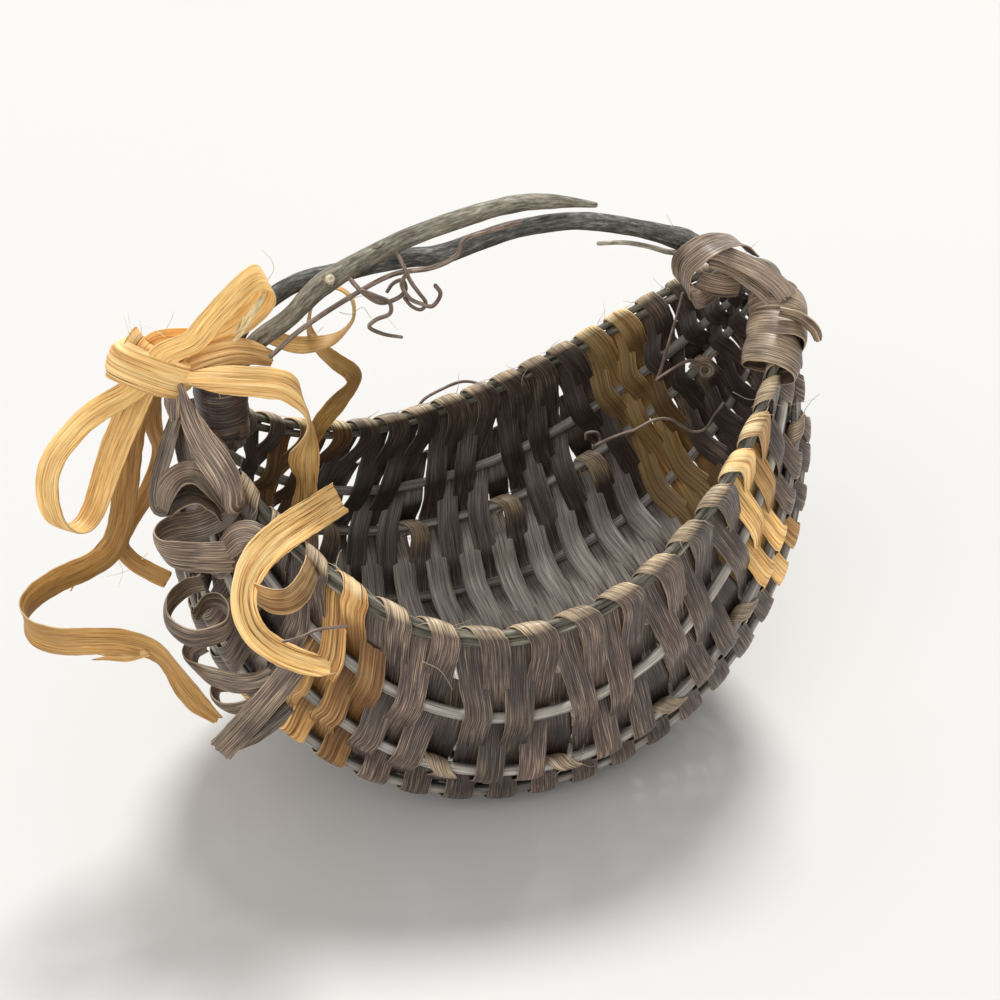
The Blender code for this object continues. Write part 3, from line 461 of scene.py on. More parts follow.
# the ribs' faces turned to the middle of the bowl are darkened (inside): painted shade
RIB_LOOK = fibrous("weathered_round_reed", "rib_reed", (0.15, 0.135, 0.11), (0.42, 0.385, 0.335),
                   (0.68, 0.645, 0.58), (0.50, 0.47, 0.42), fineness=620.0, stretch=0.02, depth=0.5,
                   cracks=0.9, inside=0.5)
for j, name in enumerate(RIB_NAMES):
    if name:
        s = np.linspace(0, LINES[j].s[-1], 150)
        centre = np.array([LINES[j].at(v) for v in s])
        formed(name + "_rod", [stem_run(centre, rib_radius(j, s), 0.35 + 0.03 * j)], STEM_FORM, Around=18,
               Roughening=0.26, Grain=420.0, Swelling=0.08, Seed=float(j), Material=RIB_LOOK)


# Rim: two thin shoots with their bark on, one above the other, each bent to a closed hoop. The
# reeds that turn over them hold the two together.
STRAND_R, STRAND_APART = 1.9, 2.15


def rim_frame(j, s):
    """Point, direction along, direction up and direction outward on one side of the rim."""
    run = LINES[j].along(s)
    up = unit(np.array([0, 0, 1.0]) - run[2] * run)
    out = np.cross(up, run) * (-1 if j == NEAR else 1)
    return LINES[j].at(s), run, up, out


RIM_LOOK = fibrous("dark_bark_shoot", "rim_strand", (0.048, 0.042, 0.030), (0.150, 0.136, 0.100),
                   (0.37, 0.345, 0.26), (0.25, 0.23, 0.18), rough=(0.6, 0.85), fineness=500.0, stretch=0.09,
                   depth=0.5, cracks=0.5)
for name, lift, seed in (("rim_strand_upper", STRAND_APART, 3.0), ("rim_strand_lower", -STRAND_APART, 8.0)):
    hoop = []
    for j, steps in ((NEAR, np.linspace(0, 1, 160)[1:]), (FAR, np.linspace(1, 0, 160)[1:])):
        for share in steps:
            point, _, up, _ = rim_frame(j, share * LINES[j].s[-1])
            hoop.append(point + up * lift)
    formed(name + "_rod", [stem_run(hoop, STRAND_R, 0.5, closed=True)], STEM_FORM, closed=True, Around=12,
           Roughening=0.12, Grain=500.0, Swelling=0.22, Seed=seed, Material=RIM_LOOK)


# Weaving: flat reed dyed brown, with an orange band toward either end. Each reed goes over one
# rib and under the next, turns round both rim strands and comes back beside itself.
REED, REED_WIDE, WIDEST = 1.0, 12.3, 15.6  # a reed's thickness, its usual breadth and its greatest
AIR, LAP, UNDER_RIM = 0.4, 3.2, 1.5  # room round a rib, overlap of neighbours, room below the rim
FLAT_REACH, BEND_REACH = 3.6, 2.4  # how far from a rib a reed lies flat on the floor, or starts to bend
# how worn a reed is at each kind of place; the low values, where it lies under a rib, also set where the
# woven looks paint shade
WORN_OUTSIDE, WORN_INSIDE, WORN_BETWEEN, WORN_TUCKED, WORN_TURN = 0.22, 0.02, 0.10, 0.2, 0.7
ROW_START, ROWS, END_ROWS = 0.285, 37, 3
SHORT_ROWS = (4, 12, 16, 20, 24, 32)
TURN_FAR, TURN_NEAR = 8, 2
NEAR_PLAN = ((0.0, 27.0), (7.5, 101.0), (25.5, 282.0), (36.0, 377.0))
FAR_PLAN = ((0.0, 30.0), (8.5, 134.0), (26.5, 285.0), (36.0, 377.0))
ONE_STATION = math.radians(15)
# how far reeds lean to the right on the ribs below the near rim, and where a reed crosses the rib
# next to a rim, between its places on the rim and on the rib below
LEAN, EVEN = {2: 14.0, 3: 15.0, 4: 12.0, 5: 8.0, 6: 4.0}, 0.7


class Pass:
    """One trip of a reed between the near and the far side."""

    def __init__(self, row, first, last, away):
        self.row = row
        ribs = FIRST_SET if row < END_ROWS or row >= ROWS - END_ROWS else range(11)
        self.ribs = [j for j in ribs if min(first, last) <= j <= max(first, last)]
        self.away = away
        place = {j: k for k, j in enumerate(ribs)}
        self.side = {j: (1 if place[j] % 2 == 0 else -1) * (1 if away else -1) for j in self.ribs}
        self.s = {}
        self.wide = {}


PASSES = []
for row in range(ROWS):
    if row in SHORT_ROWS:
        PASSES.append(Pass(row, NEAR, TURN_FAR, True))
        PASSES.append(Pass(row, TURN_FAR, TURN_NEAR, False))
        PASSES.append(Pass(row, TURN_NEAR, FAR, True))
    else:
        PASSES.append(Pass(row, NEAR, FAR, row % 2 == 0))


def planned(plan, row):
    return float(np.interp(row, [a for a, _ in plan], [b for _, b in plan]))


for j in (1, 2, 5, 8, 9, 3, 4, 6, 7):
    crossing = [p for p in PASSES if j in p.ribs]
    line, t = LINES[j], TIMES[j]
    if j in FIRST_SET:
        ends = [np.interp(v, t, line.s) for v in (ROW_START, math.pi - ROW_START)]
    else:
        low = max(k for k in FIRST_SET if k < j)
        high = min(k for k in FIRST_SET if k > j)
        ends = []
        for p in (crossing[0], crossing[-1]):
            a, b = (np.interp(p.s[k], LINES[k].s, TIMES[k]) for k in (low, high))
            ends.append(np.interp(a + (b - a) * (j - low) / (high - low), t, line.s))
    for k, p in enumerate(crossing):
        lean = LEAN.get(j, 0.0) * max(math.sin(math.pi * p.row / (ROWS - 1)), 0.0) ** 0.7
        p.s[j] = ends[0] + (ends[1] - ends[0]) * k / (len(crossing) - 1) + lean
for p in PASSES:
    if NEAR in p.ribs:
        p.s[NEAR] = planned(NEAR_PLAN, p.row)
    if FAR in p.ribs:
        p.s[FAR] = planned(FAR_PLAN, p.row)
    for rim, j, low in ((NEAR, 1, 2), (FAR, 9, 8)):
        if j in p.ribs:
            a, b = (np.interp(p.s[k], LINES[k].s, TIMES[k]) for k in (rim, low))
            p.s[j] = float(np.interp(a + (b - a) * EVEN, TIMES[j], LINES[j].s))


def base_point(p, j):
    if j in (NEAR, FAR):
        point, _, up, _ = rim_frame(j, p.s[j])
        return point - up * (STRAND_APART + UNDER_RIM)
    return LINES[j].at(p.s[j])


def neighbours(order, k):
    return order[max(k - 1, 0) : k] + order[k + 1 : k + 2]


for j in range(1, 10):
    order = sorted((p for p in PASSES if j in p.ribs), key=lambda p: p.s[j])
    for k, p in enumerate(order):
        beside = min(abs(q.s[j] - p.s[j]) for q in neighbours(order, k))
        p.wide[j] = min(max(beside + LAP, REED_WIDE), WIDEST)

MIDDLE = {}
for p in PASSES:
    p.base = {j: base_point(p, j) for j in p.ribs}
    p.frame = {}
    for k, j in enumerate(p.ribs):
        run = LINES[j].along(p.s[j])
        low, high = p.ribs[max(k - 1, 0)], p.ribs[min(k + 1, len(p.ribs) - 1)]
        ahead = unit(p.base[high] - p.base[low])
        if p.base[j][2] < FLAT + 0.05:
            ahead, run = unit(ahead * (1, 1, 0)), unit(run * (1, 1, 0))
        out = unit(np.cross(ahead, run))
        p.frame[j] = (run, unit(np.cross(run, out)), out)
    for low, high in zip(p.ribs, p.ribs[1:]):
        MIDDLE.setdefault((low, high), []).append(p)


def middle_width(p, low, high):
    """How wide a reed can be halfway between two ribs, beside its neighbours."""
    beside = MIDDLE[(low, high)]
    here = (p.base[low] + p.base[high]) / 2
    run = unit(p.base[high] - p.base[low])
    side = unit(p.frame[low][0] + p.frame[high][0])
    slant = run @ side
    room = WIDEST - LAP
    for other in neighbours(beside, beside.index(p)):
        step = (other.base[low] + other.base[high]) / 2 - here
        room = min(room, abs(float(step @ side - step @ run * slant)) / (1 - slant**2))
    return max(room + LAP, 5.0)


CHANCE = np.random.default_rng(7)
CROWN = 0.55  # how far the middle of a reed stands over its edges
REST = REED / 2 + 0.02
UNEVEN = 0.04  # how much broader or narrower than the rest one reed can be
SPACING = 1.6  # the step from point to point along a reed


def station(point, across, wide, crown=(0, 0, 0), worn=0.0):
    return (*point, *across, wide, *crown, worn)


def crossing_stations(p, j, order):
    """The reed passing one rib, outside or inside it."""
    run, ahead, out = p.frame[j]
    side = p.side[j]
    clear = float(rib_radius(j, p.s[j])) + AIR + REED / 2
    k = p.ribs.index(j)
    steps = [(p.base[p.ribs[n]] - p.base[j]) / 2 for n in (k - 1, k + 1) if 0 <= n < len(p.ribs)]
    slope = max(math.atan2(clear - side * (v @ out), np.linalg.norm(v)) for v in steps)
    wide = p.wide[j] * (1 + UNEVEN * p.jitter)
    worn = WORN_OUTSIDE if side > 0 else WORN_INSIDE
    crown = out * side * CROWN
    if p.base[j][2] < FLAT + 0.02:
        point = np.array(p.base[j])
        point[2] = REST if side > 0 else FLAT + clear
        flat = crown * (0.15 if side > 0 else 1.0)
        return [station(point + ahead * FLAT_REACH * way, run, wide, flat, worn) for way in (-order, order)]
    if slope < ONE_STATION:
        return [station(p.base[j] + out * side * clear / math.cos(slope), run, wide, crown, worn)]
    point = p.base[j] + out * side * (clear + 0.1)
    reach = min(BEND_REACH, 0.3 * min(np.linalg.norm(v) for v in steps))
    return [station(point + ahead * reach * way, run, wide, crown, worn) for way in (-order, order)]


def rim_wrap(j, s_from, s_to, side_from, wide):
    """The reed turning over both rim strands, from one side of the rim to the other."""
    stations = []
    drop = -STRAND_APART * 2 - UNDER_RIM
    for turn, lift, share in ((180, drop, 0.0), (180, 0, 0.12), (150, 0, 0.24), (120, 0, 0.36), (90, 0, 0.5),
                              (60, 0, 0.64), (30, 0, 0.76), (0, 0, 0.88), (0, drop, 1.0)):
        point, run, up, out = rim_frame(j, s_from + (s_to - s_from) * share)
        radius = STRAND_R + AIR + REED / 2 + 0.45
        angle = math.radians(turn)
        away = up * math.sin(angle) - out * side_from * math.cos(angle)
        rise = up * (STRAND_APART + lift)
        worn = min(0.2 + 0.95 * math.sin(angle) ** 0.6, 1.0)
        stations.append(station(point + rise + away * radius, run, wide, away * CROWN * 0.8, worn))
    return stations


def tucked(p, j):
    """Where a reed ends beside the next one: from the rim down to the rib below, lying on it."""
    n = 1 if j == NEAR else 9
    run, ahead, out = p.frame[n]
    middle = (p.base[j] + p.base[n]) / 2 + out * (REED + 0.15) * p.side[j]
    end = p.base[n] + out * p.side[n] * (float(rib_radius(n, p.s[n])) + 0.2)
    return [station(point, run, REED_WIDE - 1.0, worn=WORN_TUCKED) for point in (middle, end)]


def rib_turn(first, second, j, toward):
    """The reed turning back round a single rib between two short rows."""
    stations = []
    radius = RIB_R + AIR + REED / 2 + 0.25
    for turn, share in ((90, 0.0), (60, 0.2), (30, 0.38), (0, 0.5), (-30, 0.62), (-60, 0.8), (-90, 1.0)):
        angle = math.radians(turn)
        s = first.s[j] + (second.s[j] - first.s[j]) * share
        pairs = zip(first.frame[j], second.frame[j])
        run, ahead, out = (unit(a * (1 - share) + b * share) for a, b in pairs)
        away = out * math.sin(angle) * first.side[j] + ahead * toward * math.cos(angle)
        stations.append(station(LINES[j].at(s) + away * radius, run, REED_WIDE - 1.4, away * 0.4, WORN_TURN))
    return stations


def eased(stations, step):
    """A smooth line through unevenly spaced stations, with the rest of their columns."""
    rows = np.asarray(stations, float)
    p = rows[:, :3]
    run = directions(p)
    made = []
    for k in range(len(p) - 1):
        length = np.linalg.norm(p[k + 1] - p[k])
        u = np.linspace(0, 1, max(2, math.ceil(length / step)), endpoint=False)[:, None]
        place = ((2 * u**3 - 3 * u**2 + 1) * p[k] + (u**3 - 2 * u**2 + u) * length * run[k]
                 + (3 * u**2 - 2 * u**3) * p[k + 1] + (u**3 - u**2) * length * run[k + 1])
        soft = u * u * (3 - 2 * u)
        made.append(np.hstack([place, rows[k, 3:] * (1 - soft) + rows[k + 1, 3:] * soft]))
    return np.vstack([*made, rows[-1:]])


for p in PASSES:
    p.jitter = CHANCE.uniform(-1, 1)
    p.shade = CHANCE.uniform(0.1, 0.9)


def woven_path(passes, wrap_before, wrap_after):
    """Stations of one reed, through all its passes and the turns between them."""
    line, shades = [], []
    index = {id(p): k for k, p in enumerate(PASSES)}
    for n, p in enumerate(passes):
        order = 1 if p.away else -1
        ribs = p.ribs[::order]
        last = n == len(passes) - 1
        wide = REED_WIDE * (1 + UNEVEN * p.jitter)
        for m, j in enumerate(ribs):
            start, end = m == 0, m == len(ribs) - 1
            if j in (NEAR, FAR):
                if start and n == 0 and wrap_before:
                    before = PASSES[index[id(p)] - 1]
                    line += tucked(before, j)[::-1] + rim_wrap(j, before.s[j], p.s[j], -p.side[j], wide)
                if end and (not last or wrap_after):
                    after = PASSES[index[id(p)] + 1] if index[id(p)] + 1 < len(PASSES) else None
                    s_to = after.s[j] if after else p.s[j] + 9.0
                    line += rim_wrap(j, p.s[j], s_to, p.side[j], wide)
                    if last and after:
                        line += tucked(after, j)
            elif (start and n) or (end and not last):
                if end:
                    line += rib_turn(p, passes[n + 1], j, order)
            else:
                line += crossing_stations(p, j, order)
            if not end:
                low, high = sorted((j, ribs[m + 1]))
                middle = (p.base[low] + p.base[high]) / 2
                side = unit(p.frame[low][0] + p.frame[high][0])
                line.append(station(middle, side, middle_width(p, low, high), worn=WORN_BETWEEN))
            shades += [p.shade] * (len(line) - len(shades))
    return np.column_stack([np.array(line), shades])


# a flat reed: a rounded oblong at the path's own breadth, crowned, ridged lengthwise, uneven at its
# edges and frayed at its ends, and nowhere below the lowest height that is asked for
REED_TREE, inputs = new_tree("flat_reed", (
    ("Around", "Int", 26), ("Thickness", "Float", REED * MM), ("Ridge", "Float", 0.00012),
    ("Ridges", "Float", 640.0), ("Fray", "Float", 0.004), ("Seed", "Float", 0.0),
    ("Lowest", "Float", -1.0), ("Material", "Material", None)))
angle, breadth, along, fray = held(REED_TREE, "FLOAT", "ring", "breadth", "along", "fray")
side, ahead, spine, crown = held(REED_TREE, "FLOAT_VECTOR", "across", "ahead", "spine", "crown")
face = reckoned("NORMALIZE", reckoned("CROSS_PRODUCT", ahead, side))
cosine, sine = reckoned("COSINE", angle), reckoned("SINE", angle)


def softened(value, power):
    """A signed power, which squares a circle up."""
    return reckoned("SIGN", value) * reckoned("POWER", reckoned("ABSOLUTE", value), power)


edgewise, through = softened(cosine, 0.75), softened(sine, 0.4)
apart = inputs["Seed"] * PIECES_APART
edge = reckoned("SIGN", cosine) * 5.3 + inputs["Seed"] * 3.7
ragged = (noise(along * 110.0 + edge, 1.0, 3.0) - 0.5) * 0.16 + 1.0
across = edgewise * breadth * (ragged * 0.5)
grain = xyz(along + apart, across + apart, through * (MM / 2))
ridge = (noise(grain * (0.03, 1.0, 1.0), inputs["Ridges"], 1.0) - 0.5) * (inputs["Ridge"] * 4.0)
lift = through * (inputs["Thickness"] * 0.5) + ridge
bow = reckoned("SUBTRACT", 1.0, edgewise * edgewise)
torn = (noise(across * 1100.0 + edge, 1.0) - 0.35) * (inputs["Fray"] * fray)
place = spine + side * across + face * lift + crown * (bow - 0.6) + ahead * torn
spot = put(REED_TREE, "ShaderNodeSeparateXYZ", {0: place})
place = xyz(spot[0], spot[1], reckoned("MAXIMUM", spot[2], inputs["Lowest"]))
body = kept(swept(inputs), "edge", reckoned("ABSOLUTE", edgewise))
closing(body, place, grain, inputs["Material"])
REED_FORM = REED_TREE, (("across", 3, 1.0), ("breadth", 1, MM), ("crown", 3, MM), ("worn", 1, 1.0),
                        ("shade", 1, 1.0), ("fray", 1, 1.0))


def with_ends(rows, reach=3.0):
    """Adds the column that says how near a reed's cut end is: -1 at the first, 1 at the last."""
    rows = np.asarray(rows, float)
    s = arc_length(rows[:, :3])
    return np.column_stack([rows, np.clip(1 - (s[-1] - s) / reach, 0, 1) - np.clip(1 - s / reach, 0, 1)])


BROWN = {"dark": (0.016, 0.009, 0.007), "middle": (0.098, 0.061, 0.048), "light": (0.48, 0.36, 0.25),
         "worn_and_highlight_colour": (0.74, 0.56, 0.345), "rough": (0.30, 0.56), "cracks": 0.6, "mottle": 0.74}
CREASED = {"dark": (0.44, 0.18, 0.034), "middle": (0.85, 0.51, 0.165), "light": (0.97, 0.74, 0.35),
           "worn_and_highlight_colour": (0.98, 0.80, 0.46), "rough": (0.40, 0.64), "cracks": 0.9, "depth": 0.35,
           "mottle": 0.92, "deep": (1.0, 0.84, 0.62), "fineness": 1300.0, "stretch": 0.02}
BROWN_LOOK = fibrous("brown_dyed_reed", "brown_reed", **BROWN)
# the woven brown reed: inner faces and the parts under a rib darkened as painted shade, and dust whose pale
# colours also paint the light on the bowl's floor
WOVEN_BROWN_LOOK = fibrous("brown_dyed_reed_woven", "brown_reed", inside=0.62, hollow=0.30,
                           dust_and_light=((0.27, 0.240, 0.205), (0.88, 0.80, 0.70)), **BROWN)
BAND_LOOK = fibrous("orange_reed_creased", "orange_reed", **CREASED)
# the band at the left end: a deeper, darker orange, partly the reed's own colour and partly painted shade
# where it lies in shadow; its inner faces and the parts under a rib are darkened as painted shade
DEEP_ORANGE = {"dark": (0.20, 0.066, 0.011), "middle": (0.47, 0.235, 0.062), "light": (0.82, 0.54, 0.21)}
WOVEN_BAND_LOOK = fibrous("orange_reed_woven", "orange_reed", inside=0.42, hollow=0.5,
                          **{**CREASED, **DEEP_ORANGE})
# the band at the right end: the same reed in the brighter orange, with its inner faces and the parts under a
# rib darkened as painted shade
RIGHT_BAND_LOOK = fibrous("orange_reed_woven_fresh", "orange_reed", inside=0.30, hollow=0.6, **CREASED)
ORANGE_LOOK = fibrous("orange_dyed_reed", "orange_reed", (0.54, 0.25, 0.050), (0.86, 0.52, 0.165),
                      (0.97, 0.73, 0.34), (0.98, 0.79, 0.45), rough=(0.40, 0.64), cracks=0.4, mottle=0.92,
                      deep=(1.0, 0.84, 0.62))
WORN_COLUMN, WORN_LEAST = 10, 0.4  # the column that says how rubbed a reed is, and where hairs start
EDGES = {"brown_reed": [], "orange_reed": []}  # where a fibre may have sprung loose from the reed
for seed, (name, first, stop, look) in enumerate((
    ("weaver_left_end", 0, 6, WOVEN_BROWN_LOOK), ("weaver_left_band", 6, 10, WOVEN_BAND_LOOK),
    *((f"weaver_body_{k}", 6 + 4 * k, 10 + 4 * k, WOVEN_BROWN_LOOK) for k in (1, 2, 3, 4)),
    ("weaver_right_band", 26, 30, RIGHT_BAND_LOOK), ("weaver_right_end_1", 30, 34, WOVEN_BROWN_LOOK),
    ("weaver_right_end_2", 34, ROWS, WOVEN_BROWN_LOOK),
)):
    mine = [p for p in PASSES if first <= p.row < stop]
    line = woven_path(mine, name == "weaver_body_1", name != "weaver_left_band")
    rows = with_ends(eased(line, SPACING))
    EDGES[SLOTS[look.name]] += [row for row in rows if row[WORN_COLUMN] > WORN_LEAST]
    formed(name + "_reed", [rows], REED_FORM, Around=32, Lowest=0.0, Seed=seed * 3.1, Material=look)


# Spliced ends: beside each place where a reed turns back early round a rib, a short brown reed is laid
# behind the two that spread apart there, and fills the space between them.
strips = []
for row in SHORT_ROWS:
    mine = [p for p in PASSES if p.row == row]
    ahead_row = [p for p in PASSES if p.row == row + 1][0]
    past_row = [p for p in PASSES if p.row == row - 1][-1]
    for low, high, pair, beside, side in (
        (2, 1, mine[1:], (mine[0], ahead_row), -1),
        (8, 9, mine[:2], (mine[2], past_row), 1),
    ):
        rim = NEAR if high == 1 else FAR
        bottom = LINES[low].at(np.mean([p.s[low] for p in pair]))
        top = LINES[high].at(np.mean([p.s[high] for p in beside]))
        edge = np.mean([p.base[rim] for p in beside], axis=0)
        out = unit(np.mean([p.frame[high][2] for p in beside], axis=0)) * side
        run = unit(beside[0].frame[high][0])
        away = RIB_R + AIR + REED * 1.7
        strips.append(with_ends(eased([
            (*station(bottom + (bottom - top) * 0.2 + out * 1.5, run, 11.0), 0.3),
            (*station(bottom + out * away, run, 12.0), 0.3),
            (*station((bottom + top) / 2 + out * (REED + 0.6), run, 12.5), 0.3),
            (*station(top + out * away, run, 11.0, worn=0.2), 0.3),
            (*station(top + (edge - top) * 0.45 + out * (REED + 0.6), run, 6.0, worn=0.2), 0.3)], SPACING)))
formed("spliced_ends_reed", strips, REED_FORM, Around=24, Lowest=0.0, Seed=33.0, Material=WOVEN_BROWN_LOOK)


# Lashings at the left end: narrower brown reed wound about two and a half times round both strands
# of the rim, one on either side of the vines' feet, and pulled tight.
WIND_START, WIND_LONG, WIND_DEEP, WIND_TALL = 3.0, 16.4, 3.9, 6.4
WIND_TURNS, WIND_REED, WOUND_SPACING = 2.45, 7.6, 1.5
for name, j in (("lashing_left_near", NEAR), ("lashing_left_far", FAR)):
    line = []
    for share in np.linspace(0, 1, 56):
        point, run, up, out = rim_frame(j, WIND_START + WIND_LONG * share)
        angle = 2 * math.pi * WIND_TURNS * share + 0.6
        away = out * WIND_DEEP * math.cos(angle) + up * WIND_TALL * math.sin(angle)
        line.append((*station(point + away, run, WIND_REED, unit(away) * 0.3, 0.5), 0.3))
    formed(name + "_reed", [with_ends(eased(line, WOUND_SPACING))], REED_FORM, Around=20, Seed=40.0 + j,
           Material=WOVEN_BROWN_LOOK)


# Handle: a blue-grey vine and a brown one laid over each other from end to end of the rim, both
# with their bark on, and a dry broken shoot beside them.
def flow(points, count):
    """A smooth curve through given points, resampled at equal steps."""
    p = np.asarray(points, float)
    p = np.vstack([2 * p[0] - p[1], p, 2 * p[-1] - p[-2]])
    u = np.linspace(0, 1, 24, endpoint=False)[:, None]
    runs = []
    for a, b, c, d in zip(p, p[1:], p[2:], p[3:]):
        cubic = (3 * b - a - 3 * c + d) * u**3
        runs.append(0.5 * (2 * b + (c - a) * u + (2 * a - 5 * b + 4 * c - d) * u**2 + cubic))
    dense = np.vstack([*runs, p[-2:-1]])
    s = arc_length(dense)
    where = np.linspace(0, s[-1], count)
    return np.stack([np.interp(where, s, dense[:, k]) for k in range(3)], axis=1)


def inside_rim(s, inward=8.4):
    """A point beside the near side of the rim, on its inner side."""
    point, _, up, out = rim_frame(NEAR, s)
    return point - out * inward + up


def stem(name, points, radii, look, shade=0.5, step=1.5, **values):
    """A round stem through given points, its thickness changing evenly through radii."""
    count = max(8, int(arc_length(points)[-1] / step))
    radii = np.atleast_1d(radii)
    spread = np.interp(np.linspace(0, 1, count), np.linspace(0, 1, len(radii)), radii)
    run = stem_run(flow(points, count), spread, shade)
    formed(name + "_stem", [run], STEM_FORM, Material=look, **values)


GREY_VINE_LOOK = fibrous("blue_grey_bark", "vine_grey", (0.026, 0.026, 0.023), (0.098, 0.096, 0.085),
                         (0.27, 0.26, 0.22), (0.25, 0.24, 0.22), fineness=900.0, stretch=0.22, depth=0.5)
BROWN_VINE_LOOK = fibrous("grey_brown_bark", "vine_brown", (0.080, 0.067, 0.046), (0.225, 0.197, 0.145),
                          (0.42, 0.38, 0.29), (0.33, 0.28, 0.21), fineness=900.0, stretch=0.16, depth=0.5)
GREY_PATH = (
    (-119, 4.7, 181), (-119.5, 4.7, 193), (-119.5, 4.7, 206), (-117.5, 5, 217), (-111, 6, 230),
    (-100, 7, 239), (-85, 8, 246), (-65, 9, 248), (-41, 8, 251), (-24, 5, 252), (-7, 3, 257),
    (11, 2, 261), (37, 0, 262), (66, 0, 255), (89, 0, 246), (103, 0, 237), (112, -2, 230),
    *(tuple(inside_rim(s)) for s in (386, 376, 366, 357)),
)
BROWN_PATH = (
    (-119, -4.7, 181), (-119.5, -4.7, 193), (-119.3, -4.7, 206), (-116, -5, 216), (-107, -5, 227),
    (-92, -4, 236), (-75, -2, 249), (-43, 0, 262), (-12, 0, 270), (10, 0, 273), (28, -1, 272),
    (43, -4, 270),
)
stem("handle_vine_grey", GREY_PATH,
     (3.8, 3.9, 4.0, 4.0, 4.0, 4.1, 4.4, 4.0, 3.9, 3.9, 4.0, 4.9, 3.9, 3.6, 3.2), GREY_VINE_LOOK, step=0.9,
     Around=28, Roughening=0.12, Seed=2.0, Grain=500.0, Swelling=0.22)
stem("handle_vine_brown", BROWN_PATH, (3.8, 3.9, 3.9, 4.0, 4.1, 4.8, 4.1, 4.0, 4.0, 4.0, 3.8, 2.9, 1.3),
     BROWN_VINE_LOOK, step=0.9, Around=28, Roughening=0.14, Seed=5.0, Grain=500.0, Swelling=0.22)
stem("handle_twig", ((43, -8, 254), (55, -8, 253), (66, -8, 250), (76, -7.5, 246), (86, -3.5, 242.5)),
     (0.9, 1.3), BROWN_VINE_LOOK, shade=0.9, Around=10, Roughening=0.2, Seed=6.0)
CUT_LOOK = fibrous("cut_wood", "vine_brown", (0.30, 0.25, 0.15), (0.62, 0.54, 0.36), (0.80, 0.74, 0.55),
                   (0.8, 0.75, 0.6), fineness=900.0, stretch=0.5)
SCAR, SCAR_WAY = np.array((-75.0, -2.6, 249.6)), unit((0.10, -0.88, 0.46))
for name, reach, radii, look in (
    ("side_shoot_collar", (2.0, 4.9), (3.4, 3.0, 2.7), BROWN_VINE_LOOK),
    ("side_shoot_cut", (4.0, 6.0), (2.3, 2.2, 2.1), CUT_LOOK),
):
    stem(name, [SCAR + SCAR_WAY * v for v in np.linspace(*reach, 3)], radii, look, Around=20,
         Roughening=0.25, Seed=9.0, Grain=700.0, Swelling=0.0)
for name, points, radii, look in (
    ("vine_end_flare", [(79, 0, 251), (83.5, 0, 249.2), (87.5, -0.5, 247), (90, -1, 245.2)],
     (4.1, 4.7, 5.3, 5.0), GREY_VINE_LOOK),
    ("vine_bud", [(-55, -3.6, 262.5), (-52.5, -4.4, 263.6), (-50.5, -4.6, 264.6)], (0.9, 1.7, 0.7),
     BROWN_VINE_LOOK),
):
    stem(name, points, radii, look, Around=20, Roughening=0.3, Seed=4.0, Grain=600.0, Swelling=0.1)


# Tendrils: wiry dry shoots of the vine, curled where they once held on. Most grow from the handle,
# and a few lie along the rim and inside the right end.
RIGHTWARD, UPWARD = (0.955, -0.297, 0.0), (0.157, 0.506, 0.848)  # as the viewer sees it
TENDRIL_LOOK = fibrous("dry_tendril", "tendril", (0.070, 0.048, 0.036), (0.20, 0.14, 0.105),
                       (0.40, 0.31, 0.22), (0.30, 0.22, 0.15), fineness=1200.0, stretch=0.1, depth=0.2)


def coil(centre, wide, narrow, turns):
    """The points of a flat curl that tightens, seen full face by the viewer."""
    right, upward = np.array(RIGHTWARD), np.array(UPWARD)
    points = []
    for share in np.linspace(0, 1, int(turns * 10)):
        angle = math.radians(95) - 2 * math.pi * turns * share
        reach = wide + (narrow - wide) * share
        turn = right * math.cos(angle) + upward * math.sin(angle)
        points.append(tuple(np.array(centre) + turn * reach - np.cross(right, upward) * 2.0 * share))
    return points


for name, radii, points in (
    ("tendril_handle", 1.1,
     [(8, -8, 268), (-6, -9, 266), (-17, -10, 264), (-21, -10, 257), (-32, -10, 253), (-49, -10, 252),
      (-69, -11, 244), (-89, -13, 234), (-103, -16, 225)]),
    ("tendril_curl_1", 0.9,
     [(-42, -14, 255), (-46, -15, 250), (-43, -15, 243), (-38, -16, 240), (-33, -15, 238), (-29, -13, 242),
      (-31, -12, 246)]),
    ("tendril_curl_2", (0.9, 0.9, 0.7),
     [(-63, -15, 249), (-57, -16, 246), (-52, -17, 243), (-52, -17, 238), (-58, -17, 236), (-61, -17, 233),
      (-55, -17, 229), (-47, -16, 226)]),
    ("tendril_inside_coil", (0.7, 0.7, 0.8, 0.9, 1.1, 1.2),
     [(106, 38, 203), (104, 38, 193), (101, 38, 180), (97, 38, 163), (95, 38, 157), (96, 37, 159),
      (102, 36, 163), (110, 35, 167), *coil((119.5, 33.0, 161.0), 3.6, 2.0, 1.7)]),
    ("tendril_inside_long", 0.8,
     [(56, 32, 133), (56, 31, 137), (61, 30, 137), (63, 30, 132), (59, 29, 129), (60, 27, 132),
      (71, 26, 136), (79, 24, 139), (88, 22, 144), (96, 20, 144), (106, 18, 137), (112, 14, 139),
      (115, 10, 149), (117, 6, 157)]),
    ("tendril_far_rim", 0.8,
     [(-15, 103.5, 117), (-8, 111, 124), (3, 112, 129), (15, 112, 132), (25, 111, 129), (31, 110, 122),
      (33, 109, 115), (34, 104, 107)]),
    ("tendril_near_rim", 0.65,
     [(-121, -116, 155), (-114, -112, 152.5), (-106, -108.5, 152), (-94, -103, 147)]),
):
    stem(name, points, radii, TENDRIL_LOOK, step=0.8, Around=10, Roughening=0.2, Grain=600.0, Swelling=0.35)
